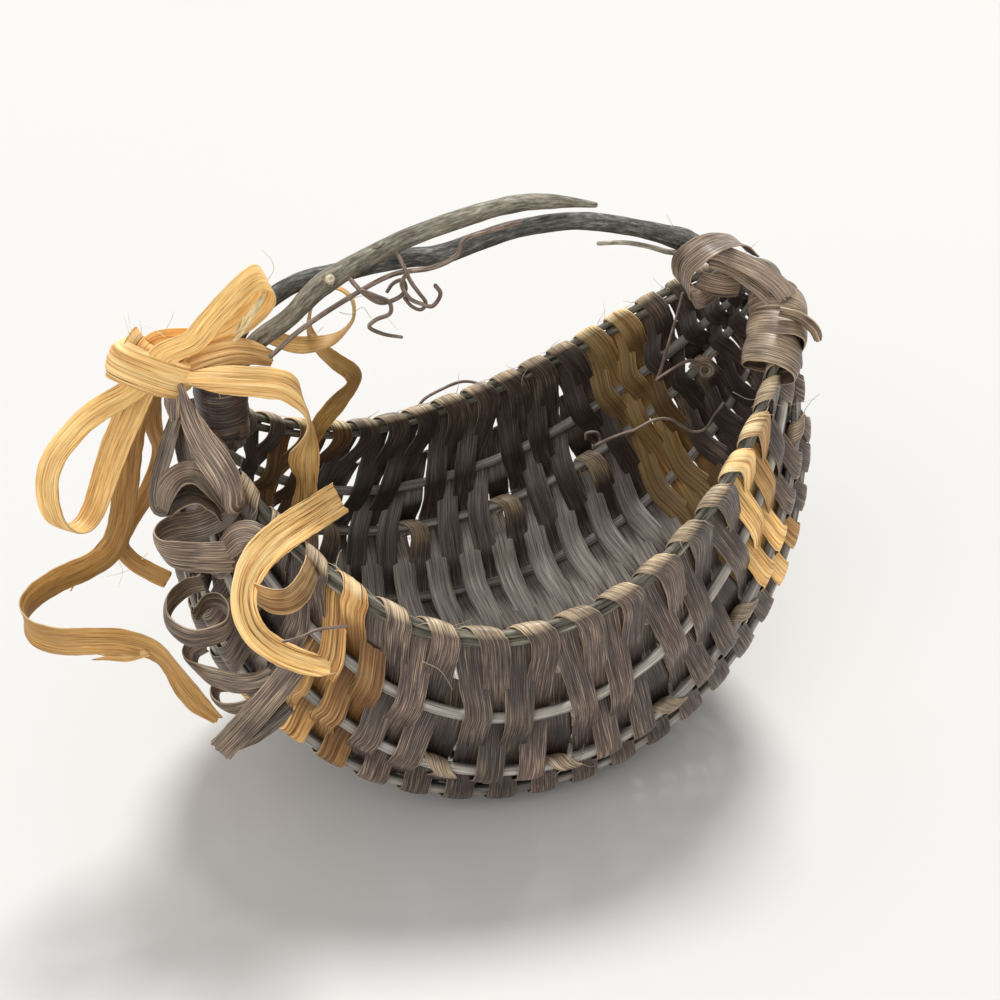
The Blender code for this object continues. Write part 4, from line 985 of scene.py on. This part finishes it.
for name, radii, points in (
    ("tendril_small_1", (1.1, 1.0, 0.8),
     [(-66, -2, 251.5), (-65, -9, 250), (-61, -13, 246), (-55, -14, 242), (-48, -14, 243), (-44, -13, 246),
      (-45, -12, 250), (-49, -12, 249), (-52, -13, 246)]),
    ("tendril_small_2", (1.0, 0.9, 0.7),
     [(-45, -1, 259.5), (-44, -9, 256), (-42, -14, 250), (-39, -15, 245), (-36, -15, 240), (-38, -15, 237),
      (-42, -15, 239), (-45, -14, 243)]),
):
    stem(name, points, radii, TENDRIL_LOOK, step=0.8, Around=10, Roughening=0.2, Seed=3.0, Grain=600.0,
         Swelling=0.35)


# Bow: orange reed in two loops and two tails, held by a short band closed round them where the
# handle meets the rim, and two more ends that leave it over the vines.
# a free reed's step, how firmly it keeps its side, how sharply it can bend edgewise for its breadth,
# and how fast it narrows before such a bend
RIBBON_STEP, KEEPING, EDGE_BEND, NARROWING = 1.4, 5.0, 1.8, 0.8


def ribbon(name, points, across, wide, look, crown=0.5, worn=0.3, shade=0.5, around=28, **values):
    """A free flat reed through given points; across and wide are given once or for each of them."""
    count = max(10, int(arc_length(flow(points, 200))[-1] / RIBBON_STEP))
    p = flow(points, count)
    hand = np.asarray(points, float)
    across = unit(np.broadcast_to(np.asarray(across, float), hand.shape))
    own = arc_length(hand) / arc_length(hand)[-1]
    here = np.linspace(0, 1, count)
    asked = np.stack([np.interp(here, own, across[:, k]) for k in range(3)], axis=1)
    run = directions(p)
    side = [unit(asked[0] - asked[0] @ run[0] * run[0])]
    for want, ahead in zip(asked[1:], run[1:]):
        last = unit(side[-1] - side[-1] @ ahead * ahead)
        flat = want - want @ ahead * ahead
        flat = flat if flat @ last > 0 else -flat
        side.append(unit(last * KEEPING / RIBBON_STEP + flat * np.linalg.norm(flat)))
    side = np.array(side)
    pace = arc_length(p)[1]
    edgewise = np.abs((np.gradient(run, pace, axis=0) * side).sum(1))
    breadth = np.interp(here, own, np.broadcast_to(np.asarray(wide, float), len(hand)))
    room = np.minimum(breadth, EDGE_BEND / np.maximum(edgewise, 1e-6))
    for _ in range(12):
        beside = np.minimum(np.r_[room[0], room[:-1]], np.r_[room[1:], room[-1]])
        room = np.minimum(room, beside + NARROWING * pace)
    face = unit(np.cross(run, side))
    rows = np.column_stack([p, side, room, face * crown, np.full(count, worn), np.full(count, shade)])
    formed(name + "_reed", [with_ends(rows)], REED_FORM, Around=around, Material=look, **values)


KNOT = np.array((-151.0, -14.0, 226.0))
KNOT_LONG, KNOT_DEEP = unit((0.857, 0.0, -0.515)), unit((-0.29, -0.95, 0.1))
KNOT_HOLE = unit(np.cross(KNOT_LONG, KNOT_DEEP))
KNOT_REACH, KNOT_THICK, KNOT_WIDE = 16.5, 6.8, 18.0
LEVEL = (0.16, 0.5, 0.85)


def in_knot(along, front, through):
    """A point inside the ring; front counts toward the viewer, through down and to the left."""
    return tuple(KNOT + KNOT_LONG * along + KNOT_DEEP * front + KNOT_HOLE * through)


def squared(value):
    """A sine with its peaks flattened, for a band pulled tight over a flat bundle."""
    return math.copysign(abs(value) ** 0.72, value)


ring = [KNOT + KNOT_LONG * KNOT_REACH * squared(math.cos(v)) + KNOT_DEEP * KNOT_THICK * squared(math.sin(v))
        for v in np.linspace(-2.4, 4.2, 44)]
ribbon("bow_knot", ring, KNOT_HOLE, KNOT_WIDE, BAND_LOOK, crown=3.6, worn=0.55, shade=0.8, around=64,
       Ridge=0.0008, Seed=51.0, Ridges=800.0)
ribbon("bow_knot_tuck",
       [in_knot(-8, 2.5, 2), in_knot(-8.5, 3.0, -7), in_knot(-8.0, 1.0, -10.5), in_knot(-7.0, -2.0, -10.0),
        in_knot(-6.0, -3.0, -4)],
       KNOT_LONG, [11, 12, 13, 13, 12], BAND_LOOK, crown=0.8, shade=0.7, Seed=50.0)
ribbon("bow_loop_upper",
       [in_knot(2, 5.4, 5), in_knot(2, 5.4, -9), (-134, -22, 239), (-126, -23, 247.5), (-117, -23, 256),
        (-109, -20, 261), (-104, -15.5, 260.5), (-101, -11.5, 256), (-102.5, -10, 250), (-107, -9.5, 244.5),
        (-114, -10.5, 240), (-121, -12, 237), (-129, -12.5, 235), in_knot(-3, -1.4, -11),
        in_knot(-3, -1.4, 3)],
       (-0.68, 0.0, 0.73), [12, 11.5, 10.5, 10.5, 10.5, 10.5, 11, 11.5, 12, 12.5, 12, 11, 10.5, 10, 10],
       ORANGE_LOOK, shade=0.75, Seed=52.0)
PITH_LOOK = fibrous("torn_pith", "orange_reed", (0.52, 0.36, 0.13), (0.86, 0.68, 0.34), (0.96, 0.86, 0.56),
                    (0.95, 0.85, 0.6), cracks=0.6, depth=0.3, fineness=900.0, stretch=0.15)
for k, (start, end, wide) in enumerate((
    ((-103, -15.6, 253), (-109, -16.2, 245.5), 2.6), ((-105.5, -15.4, 251), (-112, -16.4, 243), 3.2),
    ((-108.5, -16.0, 247), (-115, -17.0, 239), 3.0), ((-110, -16.8, 243), (-117.5, -17.2, 235), 2.2),
    ((-112.5, -16.2, 244), (-116.5, -16.8, 238), 1.8),
)):
    start, end = np.array(start), np.array(end)
    lift = np.array((0.3, -0.9, 0.2)) * (0.7 + 0.4 * (k % 3))
    ribbon(f"torn_pith_{k + 1}",
           [start, start * 0.7 + end * 0.3 + lift, start * 0.3 + end * 0.7 + lift * 1.4, end],
           (0.75, 0.0, 0.66), [wide * 0.4, wide, wide, wide * 0.4], PITH_LOOK, around=20, Ridge=0.0003,
           Fray=0.003, Thickness=0.0007, Seed=120.0 + k, Ridges=1500.0)
ribbon("bow_loop_lower",
       [in_knot(-1, 3.5, -4), in_knot(-1.5, 3.5, 6), (-163, -18.5, 218), (-173, -21.5, 215),
        (-183, -25, 210), (-194, -29, 200), (-199, -31, 187), (-198, -30, 171), (-191, -24, 162),
        (-183, -17, 165), (-171, -14, 190), in_knot(0, 0.8, 12), in_knot(0, 0.8, 1)],
       [(0.86, 0, -0.51), (0.8, 0, -0.6), (0.55, -0.2, -0.8), (0.45, -0.45, -0.75), (0.6, -0.55, -0.6),
        (0.8, -0.4, -0.4), (0.9, -0.35, -0.2), (0.8, -0.5, -0.3), (0.7, -0.6, -0.35), (0.75, -0.55, -0.35),
        (0.85, -0.4, -0.3), (0.86, -0.1, -0.5), (0.86, 0, -0.51)],
       [11, 11, 10.5, 10, 9.5, 9.5, 9.5, 9.5, 9.5, 10.5, 12, 12, 12], ORANGE_LOOK, shade=0.6, Seed=53.0)
# the long tail at a low shade, tinted by deep: painted shade where it hangs in shadow
ribbon("bow_tail_long",
       [in_knot(2, -3.2, 1), in_knot(2, -3.2, 12), (-162, -7, 195), (-168, -5, 168), (-173, -6, 149),
        (-179, -10, 140), (-189, -17, 138), (-201, -26, 140), (-211, -38, 142), (-216, -50, 142),
        (-213, -59, 139), (-204, -65, 137), (-192, -69, 137), (-180, -71, 135.5), (-170, -72, 131),
        (-164.5, -73, 125), (-161, -74, 118), (-157.5, -75, 109), (-153, -76, 100), (-147, -77, 92)],
       [(0.86, 0, -0.51), (0.86, 0, -0.51), (0.95, -0.3, 0), (0.9, -0.2, 0.3), (0.75, 0.1, 0.6),
        (0.4, 0.35, 0.8), *[LEVEL] * 7, (0.25, 0.4, 0.85), (0.2, -0.2, 0.9), (0.55, -0.75, 0.3),
        (0.8, -0.5, 0.3), (0.85, -0.2, 0.5), (0.85, -0.1, 0.5), (0.8, -0.2, 0.55)],
       [11] * 13 + [10.5, 9.5, 9.5, 10.5, 11, 9.5, 5], ORANGE_LOOK, crown=0.8, shade=0.14, worn=0.15,
       Seed=54.0)
for k, (wide, points) in enumerate((
    (3.0, [(-171, -73, 129), (-179, -72.5, 128), (-186, -71.5, 129), (-191, -71, 129)]),
    (2.2, [(-196, -67, 133), (-187, -70, 130.5), (-180, -71.5, 130)]),
    (2.6, [(-178, -6, 146), (-186, -12, 141), (-193, -17, 135), (-197, -21, 131)]),
)):
    ribbon(f"tail_sliver_{k + 1}", points, LEVEL, [wide, wide, wide * 0.7, wide * 0.2][:len(points)],
           ORANGE_LOOK, shade=0.4, around=16, Thickness=0.0006, Seed=130.0 + k)
# the short tail set dark like the long one: painted shade where it hangs in shadow
ribbon("bow_tail_short",
       [in_knot(4, -5.2, 1), in_knot(4, -5.2, 10), (-153, -1, 193), (-151, 3, 179), (-154, 4, 168),
        (-161, 3, 156), (-169, 1, 146), (-174, -2, 138), (-171, -5, 131), (-164, -8, 125),
        (-157, -11, 121)],
       [(0.86, 0, -0.51), (0.86, 0, -0.51), (0.9, -0.4, 0.1), (0.9, -0.4, 0.2), (0.85, -0.35, 0.4),
        (0.75, -0.2, 0.6), (0.6, 0, 0.8), (0.4, 0.3, 0.85), LEVEL, LEVEL, LEVEL],
       8.0, ORANGE_LOOK, shade=0.08, worn=0.15, Seed=55.0)
ribbon("bow_band_right",
       [(-144, -15, 221), (-138, -19.5, 222), (-132, -22.5, 222.5), (-125, -25.5, 222.5),
        (-116, -27.5, 221.5), (-107, -28.5, 220), (-100, -28.5, 217.5), (-95.5, -27.5, 212.5),
        (-92.5, -25.5, 206), (-90.5, -24, 198), (-91, -22.5, 190), (-92.5, -20.5, 181), (-93, -18.5, 172),
        (-92.5, -16, 163), (-92.5, -13.5, 154), (-93.5, -11.5, 147), (-94, -9.5, 139)],
       [*[LEVEL] * 6, (0.25, 0.4, 0.85), (0.1, 0.8, 0.5), (-0.1, 0.95, 0.1), (0.3, 0.9, 0.0),
        (0.8, 0.5, 0.0), (0.95, -0.25, 0.1), (0.9, -0.4, 0.1), (0.35, -0.9, 0.1), (0.75, -0.65, 0),
        (0.95, -0.3, 0), (0.95, -0.3, 0)],
       [3, 5, 8.5, 11.5, 12.5, 13, 12.5, 11.5, 11, 11.5, 13, 14, 13, 10.5, 12, 12, 10], BAND_LOOK,
       crown=0.9, shade=0.55, Seed=56.0)
ribbon("bow_band_back",
       [(-143, -13, 223), (-136.5, -15.5, 226), (-130.5, -17, 228.5), (-124, -17.3, 230),
        (-116.5, -16.5, 230), (-109, -14.5, 227), (-102, -11, 222)],
       LEVEL, [3, 5.5, 9, 11, 11.5, 10, 7], BAND_LOOK, crown=0.9, shade=0.35, Seed=57.0)


# Ends of the orange weaving reed: flat dyed reed held by the weave at one end and curled up at the
# other, one of them inside the basket and two over the rim at the front.
ribbon("band_curl_small",
       [(-74, 83, 122), (-71.5, 79, 132), (-69, 72, 142), (-66, 66, 150), (-62, 56, 162), (-57, 46, 176),
        (-60, 38, 186), (-68, 30, 196), (-76, 25, 207), (-80, 22, 218), (-77, 21, 230), (-68, 21, 236),
        (-60, 22, 229), (-61, 20, 219), (-71, 17, 213), (-86, 14, 214), (-98, 15, 219)],
       [*[(0.61, -0.55, -0.56)] * 4, (0.75, -0.1, 0.0), (0.8, 0.3, 0.5), (0.75, 0.45, 0.5), (0.6, 0.7, 0.4),
        (0.5, 0.8, 0.3), (0.3, 0.9, 0.1), (0.3, 0.95, 0), (0.3, 0.95, 0), (0.3, 0.9, 0.1), (0.3, 0.9, 0.3),
        (0.2, 0.7, 0.7), (0.2, 0.5, 0.85), (0.2, 0.5, 0.85)],
       [7, 8, 9, 9, 9, 9, 8.5, 8, 7, 6.5, 6, 6, 6.5, 7, 7.5, 8, 6.5], ORANGE_LOOK, shade=0.35, worn=0.2,
       Seed=58.0)
CURL_AXIS = (-0.29, 0.58, 0.755)
ribbon("band_curl_front",
       [(-81, -30, 160.5), (-93, -43, 163.5), (-105, -58, 168), (-116.5, -74, 172.5), (-126, -89, 174.5),
        (-131.5, -100, 173), (-133.5, -107, 168), (-132, -112, 160.5), (-126, -113, 151.5),
        (-117.5, -112, 143), (-108, -109, 135), (-103, -107, 131)],
       CURL_AXIS, [14.5, 14.5, 14.5, 14, 13.5, 12.5, 12, 12, 12, 11.5, 9.5, 5], BAND_LOOK, crown=0.8,
       shade=0.6, Seed=59.0)
# the inner curl in the deeper woven orange, its faces to the bowl's middle darkened: painted shade
ribbon("band_curl_front_inner",
       [(-131, -90, 167), (-128, -97, 166.5), (-122, -101, 164), (-115, -98, 160.5), (-108.5, -88, 157),
        (-103, -75, 154.5), (-99.5, -64, 153), (-97.5, -54, 151.5), (-95.5, -45, 151), (-94, -37, 152.5),
        (-93, -30, 155)],
       CURL_AXIS, [9, 10, 10.5, 10.5, 10.5, 10, 9.5, 9, 8.5, 8, 7.5], WOVEN_BAND_LOOK, shade=0.4, Seed=60.0)


# Loose ends of brown reed: ends of the dyed flat reed that weren't tucked in. They are held in the
# weave and the lashings and have sprung out and curled outside the left end of the basket.
UPRIGHT = (0.0, 0.0, 1.0)
for seed, (name, across, wide, shade, points) in enumerate((
    ("reed_drop_front",
     [(0.95, -0.1, 0.3)] * 3 + [(0.86, 0.07, 0.51)] * 4 + [(0.5, 0.1, 0.8), (0.1, 0.2, 0.95), UPWARD,
      UPWARD, UPWARD],
     [2.5, 3.5, 6, 9.5, 12.5, 13.5, 12.5, 10, 7, 6, 6.5, 5], 1.0,
     [(-141, -19, 222), (-140.5, -24, 217), (-140, -28, 213), (-138.5, -33, 207.5), (-136, -38, 201),
      (-132.5, -43, 195), (-129.5, -47, 188.5), (-128.5, -50, 183), (-129, -51.5, 178.5),
      (-127, -50, 174.5), (-123.5, -46.5, 175), (-123, -43, 179)]),
    ("reed_drop_left", (0.7, -0.6, 0.3), [3, 6, 8, 8.5, 8.5, 8, 7, 6, 5.5], 0.0,
     [(-141, -16, 212), (-144, -18, 206), (-148, -22, 199), (-151, -25, 193), (-154, -28, 187),
      (-156.5, -31, 182), (-158, -34, 177), (-157.5, -37, 173), (-154, -39, 173)]),
    # reed_curl_top set a little dark: painted shade in the crevice under the curls
    ("reed_curl_top",
     [(0.61, -0.72, 0.32), (0.61, -0.72, 0.32), (0.35, -0.85, 0.05), (-0.1, -0.9, -0.3),
      (-0.28, -0.89, -0.36), (-0.65, -0.7, -0.2), (-0.93, -0.31, 0.12), (-0.93, -0.31, 0.12)],
     [7, 11, 14, 15, 14, 11, 7, 5], 0.4,
     [(-155, -41, 176), (-153, -40, 182), (-149, -38, 186.5), (-144, -37, 188), (-139.5, -37, 186.5),
      (-136, -38, 182), (-133, -40, 177), (-131, -41, 173)]),
    ("reed_curl_1", [LEVEL] * 5 + [(0.12, 0.4, 0.9)] * 2 + [LEVEL] * 5,
     [9, 11.5, 12.5, 12.5, 12, 11, 11, 11.5, 12, 12.5, 12.5, 12.5], 0.72,
     [(-128, -40, 171), (-132, -41, 169), (-139, -42, 167), (-145, -42, 166), (-151, -44, 167.5),
      (-157, -48, 168.5), (-160, -53, 168), (-158, -57, 166), (-153, -60, 164.5), (-146, -61, 163),
      (-139, -62, 162), (-132, -62, 161)]),
    ("reed_curl_2", UPRIGHT, [8, 9, 9.5, 9.5, 9.5, 9.5, 9.5, 9.5, 9, 8.5, 8, 7.5], 0.5,
     [(-144, -47, 141), (-151, -47, 140), (-159, -55, 139), (-161, -66, 138), (-158, -74, 137),
      (-152, -79, 136), (-143, -78, 135), (-137, -73, 134.5), (-135, -63, 135), (-138, -55, 136),
      (-144, -54, 136), (-149, -60, 135)]),
    ("reed_curl_3", LEVEL, 8.5, 0.5,
     [(-148, -60, 119), (-153, -61, 117), (-154, -66, 115), (-150, -72, 113), (-144, -77, 112),
      (-137, -82, 112), (-130, -86, 114), (-124, -88, 117)]),
    ("reed_curl_4", LEVEL, 6.0, 0.45,
     [(-139, -70, 103), (-145, -71, 104), (-147, -75, 102), (-144, -79, 99), (-139, -81, 98),
      (-133, -82, 99)]),
    ("reed_end_flat", (0.6, -0.56, -0.57), 11.0, 0.6,
     [(-114, -95, 127), (-122, -96, 118), (-131, -96, 108), (-140, -95, 98), (-148, -94, 89)]),
)):
    ribbon(name, points, across, wide, BROWN_LOOK, shade=shade, worn=0.32, crown=1.3, Seed=70.0 + seed)
for seed, (name, across, wide, shade, points) in enumerate((
    # reed_curl_under set dark: painted shade in the crevice under the curls
    ("reed_curl_under",
     [(0.3, -0.9, 0.2), (0.1, -0.95, 0.1), (-0.2, -0.95, 0.0), (-0.3, -0.93, 0.0), (-0.5, -0.85, 0),
      (-0.8, -0.55, 0.1), (-0.9, -0.4, 0.1)],
     [6, 10, 13, 14, 13, 10, 6], 0.15,
     [(-153, -40, 172), (-150.5, -41, 176.5), (-146.5, -42, 179.5), (-142, -42, 180), (-138, -42, 177),
      (-134, -42, 173), (-132, -41, 168)]),
    ("reed_curl_end", LEVEL, [8, 11, 12.5, 12.5, 12, 11, 8], 0.7,
     [(-138, -56, 157), (-135, -58, 162), (-132, -60, 166.5), (-129, -61, 169.5), (-125, -62, 170.5),
      (-121, -64, 169), (-119, -66, 165)]),
    # a reed at the darkest shade behind the others: painted shade that fills the gap between the drops
    ("reed_drop_back", (0.9, -0.2, 0.3), [9, 11, 12, 12, 10], 0.0,
     [(-140, -13, 208), (-140, -17, 200), (-141, -22, 192), (-140, -27, 184), (-138, -31, 176)]),
    ("reed_end_point", (0.5, -0.5, -0.7), [7, 8, 7, 2], 0.2,
     [(-119, -93, 104), (-126, -93, 98), (-134, -94, 93), (-142, -95, 89)]),
)):
    ribbon(name, points, across, wide, BROWN_LOOK, shade=shade, worn=0.3, crown=1.5, Seed=110.0 + seed)
ribbon("reed_stub", [(-143, -15, 219), (-143.5, -17, 214), (-144.5, -18.5, 209), (-145, -20, 204)],
       (0.9, -0.2, 0.2), [6, 9, 8, 3], BROWN_LOOK, shade=0.9, worn=0.4, Seed=79.0)


# Straps: brown reed laid over the end of the grey vine and the rim at the right end, and wound
# round the feet of both vines at the left end.
ribbon("strap_right_loop",
       [(115, 5, 225), (108, 8, 219), (101, 8, 215), (95, 4, 217), (89, -2, 224), (84, -8, 230),
        (82, -12, 240), (86, -14, 246), (93, -13, 249), (102, -8, 248), (113, -2, 244), (122, 4, 236)],
       [(0.34, -0.59, -0.74), (0.34, -0.59, -0.74), (0.4, -0.6, -0.7), (0.42, -0.58, -0.7),
        (0.42, -0.58, -0.7), (0.42, -0.58, -0.7), (0.42, -0.65, -0.65), (0.3, -0.8, -0.5), (0, -0.95, -0.3),
        (-0.2, -0.95, 0), (-0.3, -0.9, 0.2), (-0.3, -0.85, 0.45)],
       [11.5, 11.5, 11.5, 12, 13, 13.5, 13.5, 13, 12.5, 12, 11.5, 11], BROWN_LOOK, worn=0.34, shade=0.8,
       crown=1.0, Seed=80.0)
ribbon("strap_right_end",
       [(92, -12, 246), (98, -12.5, 245), (104, -13.5, 242.5), (110, -16.5, 240), (116, -21.5, 237),
        (121, -27, 233), (124, -32, 229)],
       [(0.3, 0.5, 0.8), (0.3, 0.55, 0.75), (0.3, 0.6, 0.7), (0.4, 0.6, 0.7), (0.55, 0.6, 0.55),
        (0.6, 0.6, 0.5), (0.65, 0.6, 0.4)],
       [6, 7.5, 8.5, 9, 9.5, 10, 10], BROWN_LOOK, worn=0.38, shade=0.9, Seed=81.0)
ribbon("strap_right_under",
       [(95, -12.5, 240.5), (101, -13.5, 238.5), (107, -15.5, 235.5), (112, -18.5, 232), (116, -22.5, 229),
        (119, -28, 226)],
       [(0.3, 0.6, 0.7), (0.35, 0.6, 0.7), (0.4, 0.6, 0.7), (0.5, 0.6, 0.6), (0.6, 0.6, 0.5),
        (0.65, 0.6, 0.4)],
       [5, 6, 6.5, 7, 7.5, 7.5], BROWN_LOOK, worn=0.45, shade=0.7, Seed=82.0)
ribbon("strap_right_tab", [(91, -11, 232), (97, -12, 229.5), (104, -12.5, 227.5), (110, -12, 227)],
       [(0.34, -0.30, 0.85), (0.34, -0.25, 0.85), (0.36, -0.2, 0.85), (0.38, -0.1, 0.85)],
       [9, 11, 11.5, 11.5], BROWN_LOOK, worn=0.45, shade=0.9, Seed=83.0)


VINE_OUT, VINE_UP, WRAP_SLOPE = 12.2, 9.2, 3.4  # how far a turn stands out and up, and how it slants
GAPE_AT, GAPE_SPAN = 0.75, 0.55  # where round the turn its edge stands open, and over what angle


def winding(s, wide, inward, shade, lifted=0.0):
    """One turn of reed round the rim and the end of the vine. Its lower edge stands off, so that
    each turn lies over the next one down; lifted opens that edge further on the outer side."""
    point, run, up, out = rim_frame(NEAR, s)
    rows = []
    for v in np.radians(np.linspace(-90.0, 270.0, 46)):
        below = 1 - 0.30 * float(np.clip(-math.sin(v) - 0.3, 0, 0.7) / 0.7)
        away = out * math.cos(v) + up * math.sin(v)
        gape = lifted * math.exp(-(((v - GAPE_AT) / GAPE_SPAN) ** 2))
        place = (point + out * ((VINE_OUT - inward) * math.cos(v) * below - 2.4)
                 + up * ((VINE_UP - inward) * math.sin(v) * below + 0.4) + run * WRAP_SLOPE * v / math.pi)
        across = unit(run - away * (0.07 + gape * 0.2))
        worn = 0.24 + 0.38 * max(math.sin(v), 0)
        crown = away * (1.6 if inward < 1 else 0.3)
        rows.append((*station(place + away * gape, across, wide, crown, worn), shade))
    return with_ends(eased(rows, WOUND_SPACING))


for name, s, wide, shade, lifted in (
    ("strap_right_wrap_1", 354.0, 18.0, 0.6, 0.0),
    ("strap_right_wrap_2", 367.5, 17.0, 0.75, 1.4),
    ("strap_right_wrap_3", 380.0, 14.5, 0.65, 0.0),
):
    # under each turn a narrower turn at shade 0: painted shade, seen through the opening where the turn
    # above stands off
    turns = [winding(s, wide, 0.0, shade, lifted), winding(s + 4.0, 14.0, 2.2, 0.0)]
    formed(name + "_reed", turns, REED_FORM, Around=34, Seed=s, Material=BROWN_LOOK)
ribbon("strap_right_frayed",
       [(117, -42, 226), (122, -45, 225), (126, -47.5, 222.5), (129, -49.5, 219.5), (130.5, -50.5, 216)],
       (0.25, -0.75, 0.6), [8, 9, 8.5, 7, 5], BROWN_LOOK, crown=0.9, worn=0.5, shade=0.8, Fray=0.008,
       Seed=84.0)
FOOT, FOOT_TURNS, FOOT_DEEP, FOOT_WIDE = np.array((-119.4, 0.0, 203.5)), 2.05, 6.4, 11.0
FOOT_REED, FOOT_DROP = 9.8, 1.68
line = []
for v in np.linspace(0, FOOT_TURNS, 60) * 2 * math.pi:
    away = np.array((-FOOT_DEEP * math.cos(v), -FOOT_WIDE * math.sin(v), 0.0))
    place = FOOT + away + (0, 0, -FOOT_DROP * v)
    line.append((*station(place, UPRIGHT, FOOT_REED, unit(away) * 0.3, 0.2), 0.3))
formed("strap_left_reed", [with_ends(eased(line, WOUND_SPACING))], REED_FORM, Around=22, Seed=90.0,
       Material=BROWN_LOOK)
# the wound strap over the vines' feet is set dark: painted shade for the crevice it lies in
BULK, BULK_TURNS, BULK_TALL = np.array((-124.0, -2.5, 208.0)), 3.3, 21.0
BULK_DEEP, BULK_WIDE, BULK_REED = 10.5, 11.5, 11.0
line = []
for share in np.linspace(0, 1, 120):
    v = 2 * math.pi * BULK_TURNS * share
    reach = 1.0 - 0.32 * max(share - 0.62, 0.0) / 0.38 - 0.05 * math.cos(3 * v)
    away = np.array((-BULK_DEEP * math.cos(v), -BULK_WIDE * math.sin(v), 0.0)) * reach
    place = BULK + away + (0, 0, 0.10 * away[1] - BULK_TALL * share)
    across = unit((0.12 * math.cos(v), 0.12 * math.sin(v), 1))
    line.append((*station(place, across, BULK_REED, unit(away) * 0.8, 0.12), 0.22))
formed("strap_left_over_reed", [with_ends(eased(line, WOUND_SPACING))], REED_FORM, Around=24, Seed=91.0,
       Material=BROWN_LOOK)


# Loose fibres: hairs split from the edges of the reed, most of them on the turns over the rim, and
# longer ones at the knot and the cut ends. Each is as thin as a bristle and curls as it dried.
FIBRE_R, UNREST, SHORTEST = 0.14, 0.16, 3.5
HAIR_CHANCE = np.random.default_rng(11)


def wandering(start, way, length):
    """A fibre that leaves along way and bends at random."""
    points, way = [np.asarray(start, float)], unit(way)
    steps = max(4, int(length / 1.2))
    bend = HAIR_CHANCE.normal(0, UNREST, 3)
    for _ in range(steps):
        bend = 0.8 * bend + HAIR_CHANCE.normal(0, UNREST * 0.5, 3)
        way = unit(way + bend)
        points.append(points[-1] + way * length / steps)
    return np.array(points)


def fibre(points):
    """Columns for one loose fibre, tapering to its tip."""
    smooth = flow(points, max(6, int(arc_length(points)[-1])))
    return stem_run(smooth, np.linspace(FIBRE_R * 1.25, FIBRE_R * 0.55, len(smooth)), 0.9)


PALE_FIBRE_LOOK = fibrous("pale_fibre", "orange_reed", (0.55, 0.40, 0.22), (0.78, 0.64, 0.42),
                          (0.88, 0.80, 0.62), (0.9, 0.8, 0.6))
DARK_FIBRE_LOOK = fibrous("grey_fibre", "brown_reed", (0.20, 0.155, 0.115), (0.42, 0.34, 0.26),
                          (0.62, 0.54, 0.43), (0.6, 0.5, 0.4))
HAND_SET = {
    "orange_reed": [
        [(-158, -20, 243), (-158, -19, 247), (-159, -18, 252)],
        [(-156.5, -20, 243), (-157, -18, 248), (-157, -16, 252)],
        [(-155, -20, 242), (-153, -19, 245), (-153, -17, 249)],
        [(-144, -16, 240), (-148, -16, 244), (-152, -16, 246)],
        [(-145, -14, 240), (-141, -13, 245), (-139, -12, 249)],
        [(-140, -22, 224), (-136, -24, 221), (-133, -25, 221)],
        [(-130, -24, 221), (-127, -26, 219), (-126, -27, 215)],
        [(-101, -12, 257), (-98, -12, 261), (-98.5, -13, 266), (-102, -14, 271)],
        [(-74, 20, 218), (-79, 20, 215), (-82, 20, 219), (-83, 20, 223)],
        [(-67, 16, 226), (-62, 15, 225), (-57, 14, 228), (-53, 14, 222), (-47, 14, 222), (-42, 14, 215)],
        [(-61, 16, 232), (-53, 15, 233), (-50, 15, 230), (-45, 15, 231)],
        [(-174, -2, 143), (-176, -2, 131), (-175, -2, 123), (-178, -2, 115)],
        [(-163, -6, 133), (-172, -6, 126), (-185, -6, 124)],
        [(-114, -111, 140), (-108, -112, 134), (-100, -111, 131)],
    ],
    "brown_reed": [
        [(97, -41, 190), (102, -48, 189), (109, -52, 191), (114, -54, 187), (121, -56, 188),
         (129, -58, 190)],
        [(84, 0, 249), (81, 0, 255), (78, 0, 260)],
        [(134, -29, 216), (138, -30, 212), (143, -30, 207)],
        [(-66, -111, 129), (-59, -113, 124), (-54, -113, 113)],
    ],
}
for name, look, count, longest in (("loose_fibres_brown", DARK_FIBRE_LOOK, 85, 13.0),
                                   ("loose_fibres_orange", PALE_FIBRE_LOOK, 22, 11.0)):
    slot = SLOTS[look.name]
    hairs = [fibre(points) for points in HAND_SET[slot]]
    for k in HAIR_CHANCE.choice(len(EDGES[slot]), count, replace=False):
        place, across, wide = np.split(EDGES[slot][k][:7], (3, 6))
        edge = HAIR_CHANCE.choice((-1.0, 1.0))
        around = HAIR_CHANCE.normal(0, 0.55, 3) + (0, 0, 0.35)
        start = place + across * edge * wide * 0.47
        length = HAIR_CHANCE.uniform(SHORTEST, longest)
        hairs.append(fibre(wandering(start, across * edge + around, length)))
    formed(name, hairs, STEM_FORM, Around=5, Roughening=0.0, Seed=12.0, Material=look, Swelling=0.0)
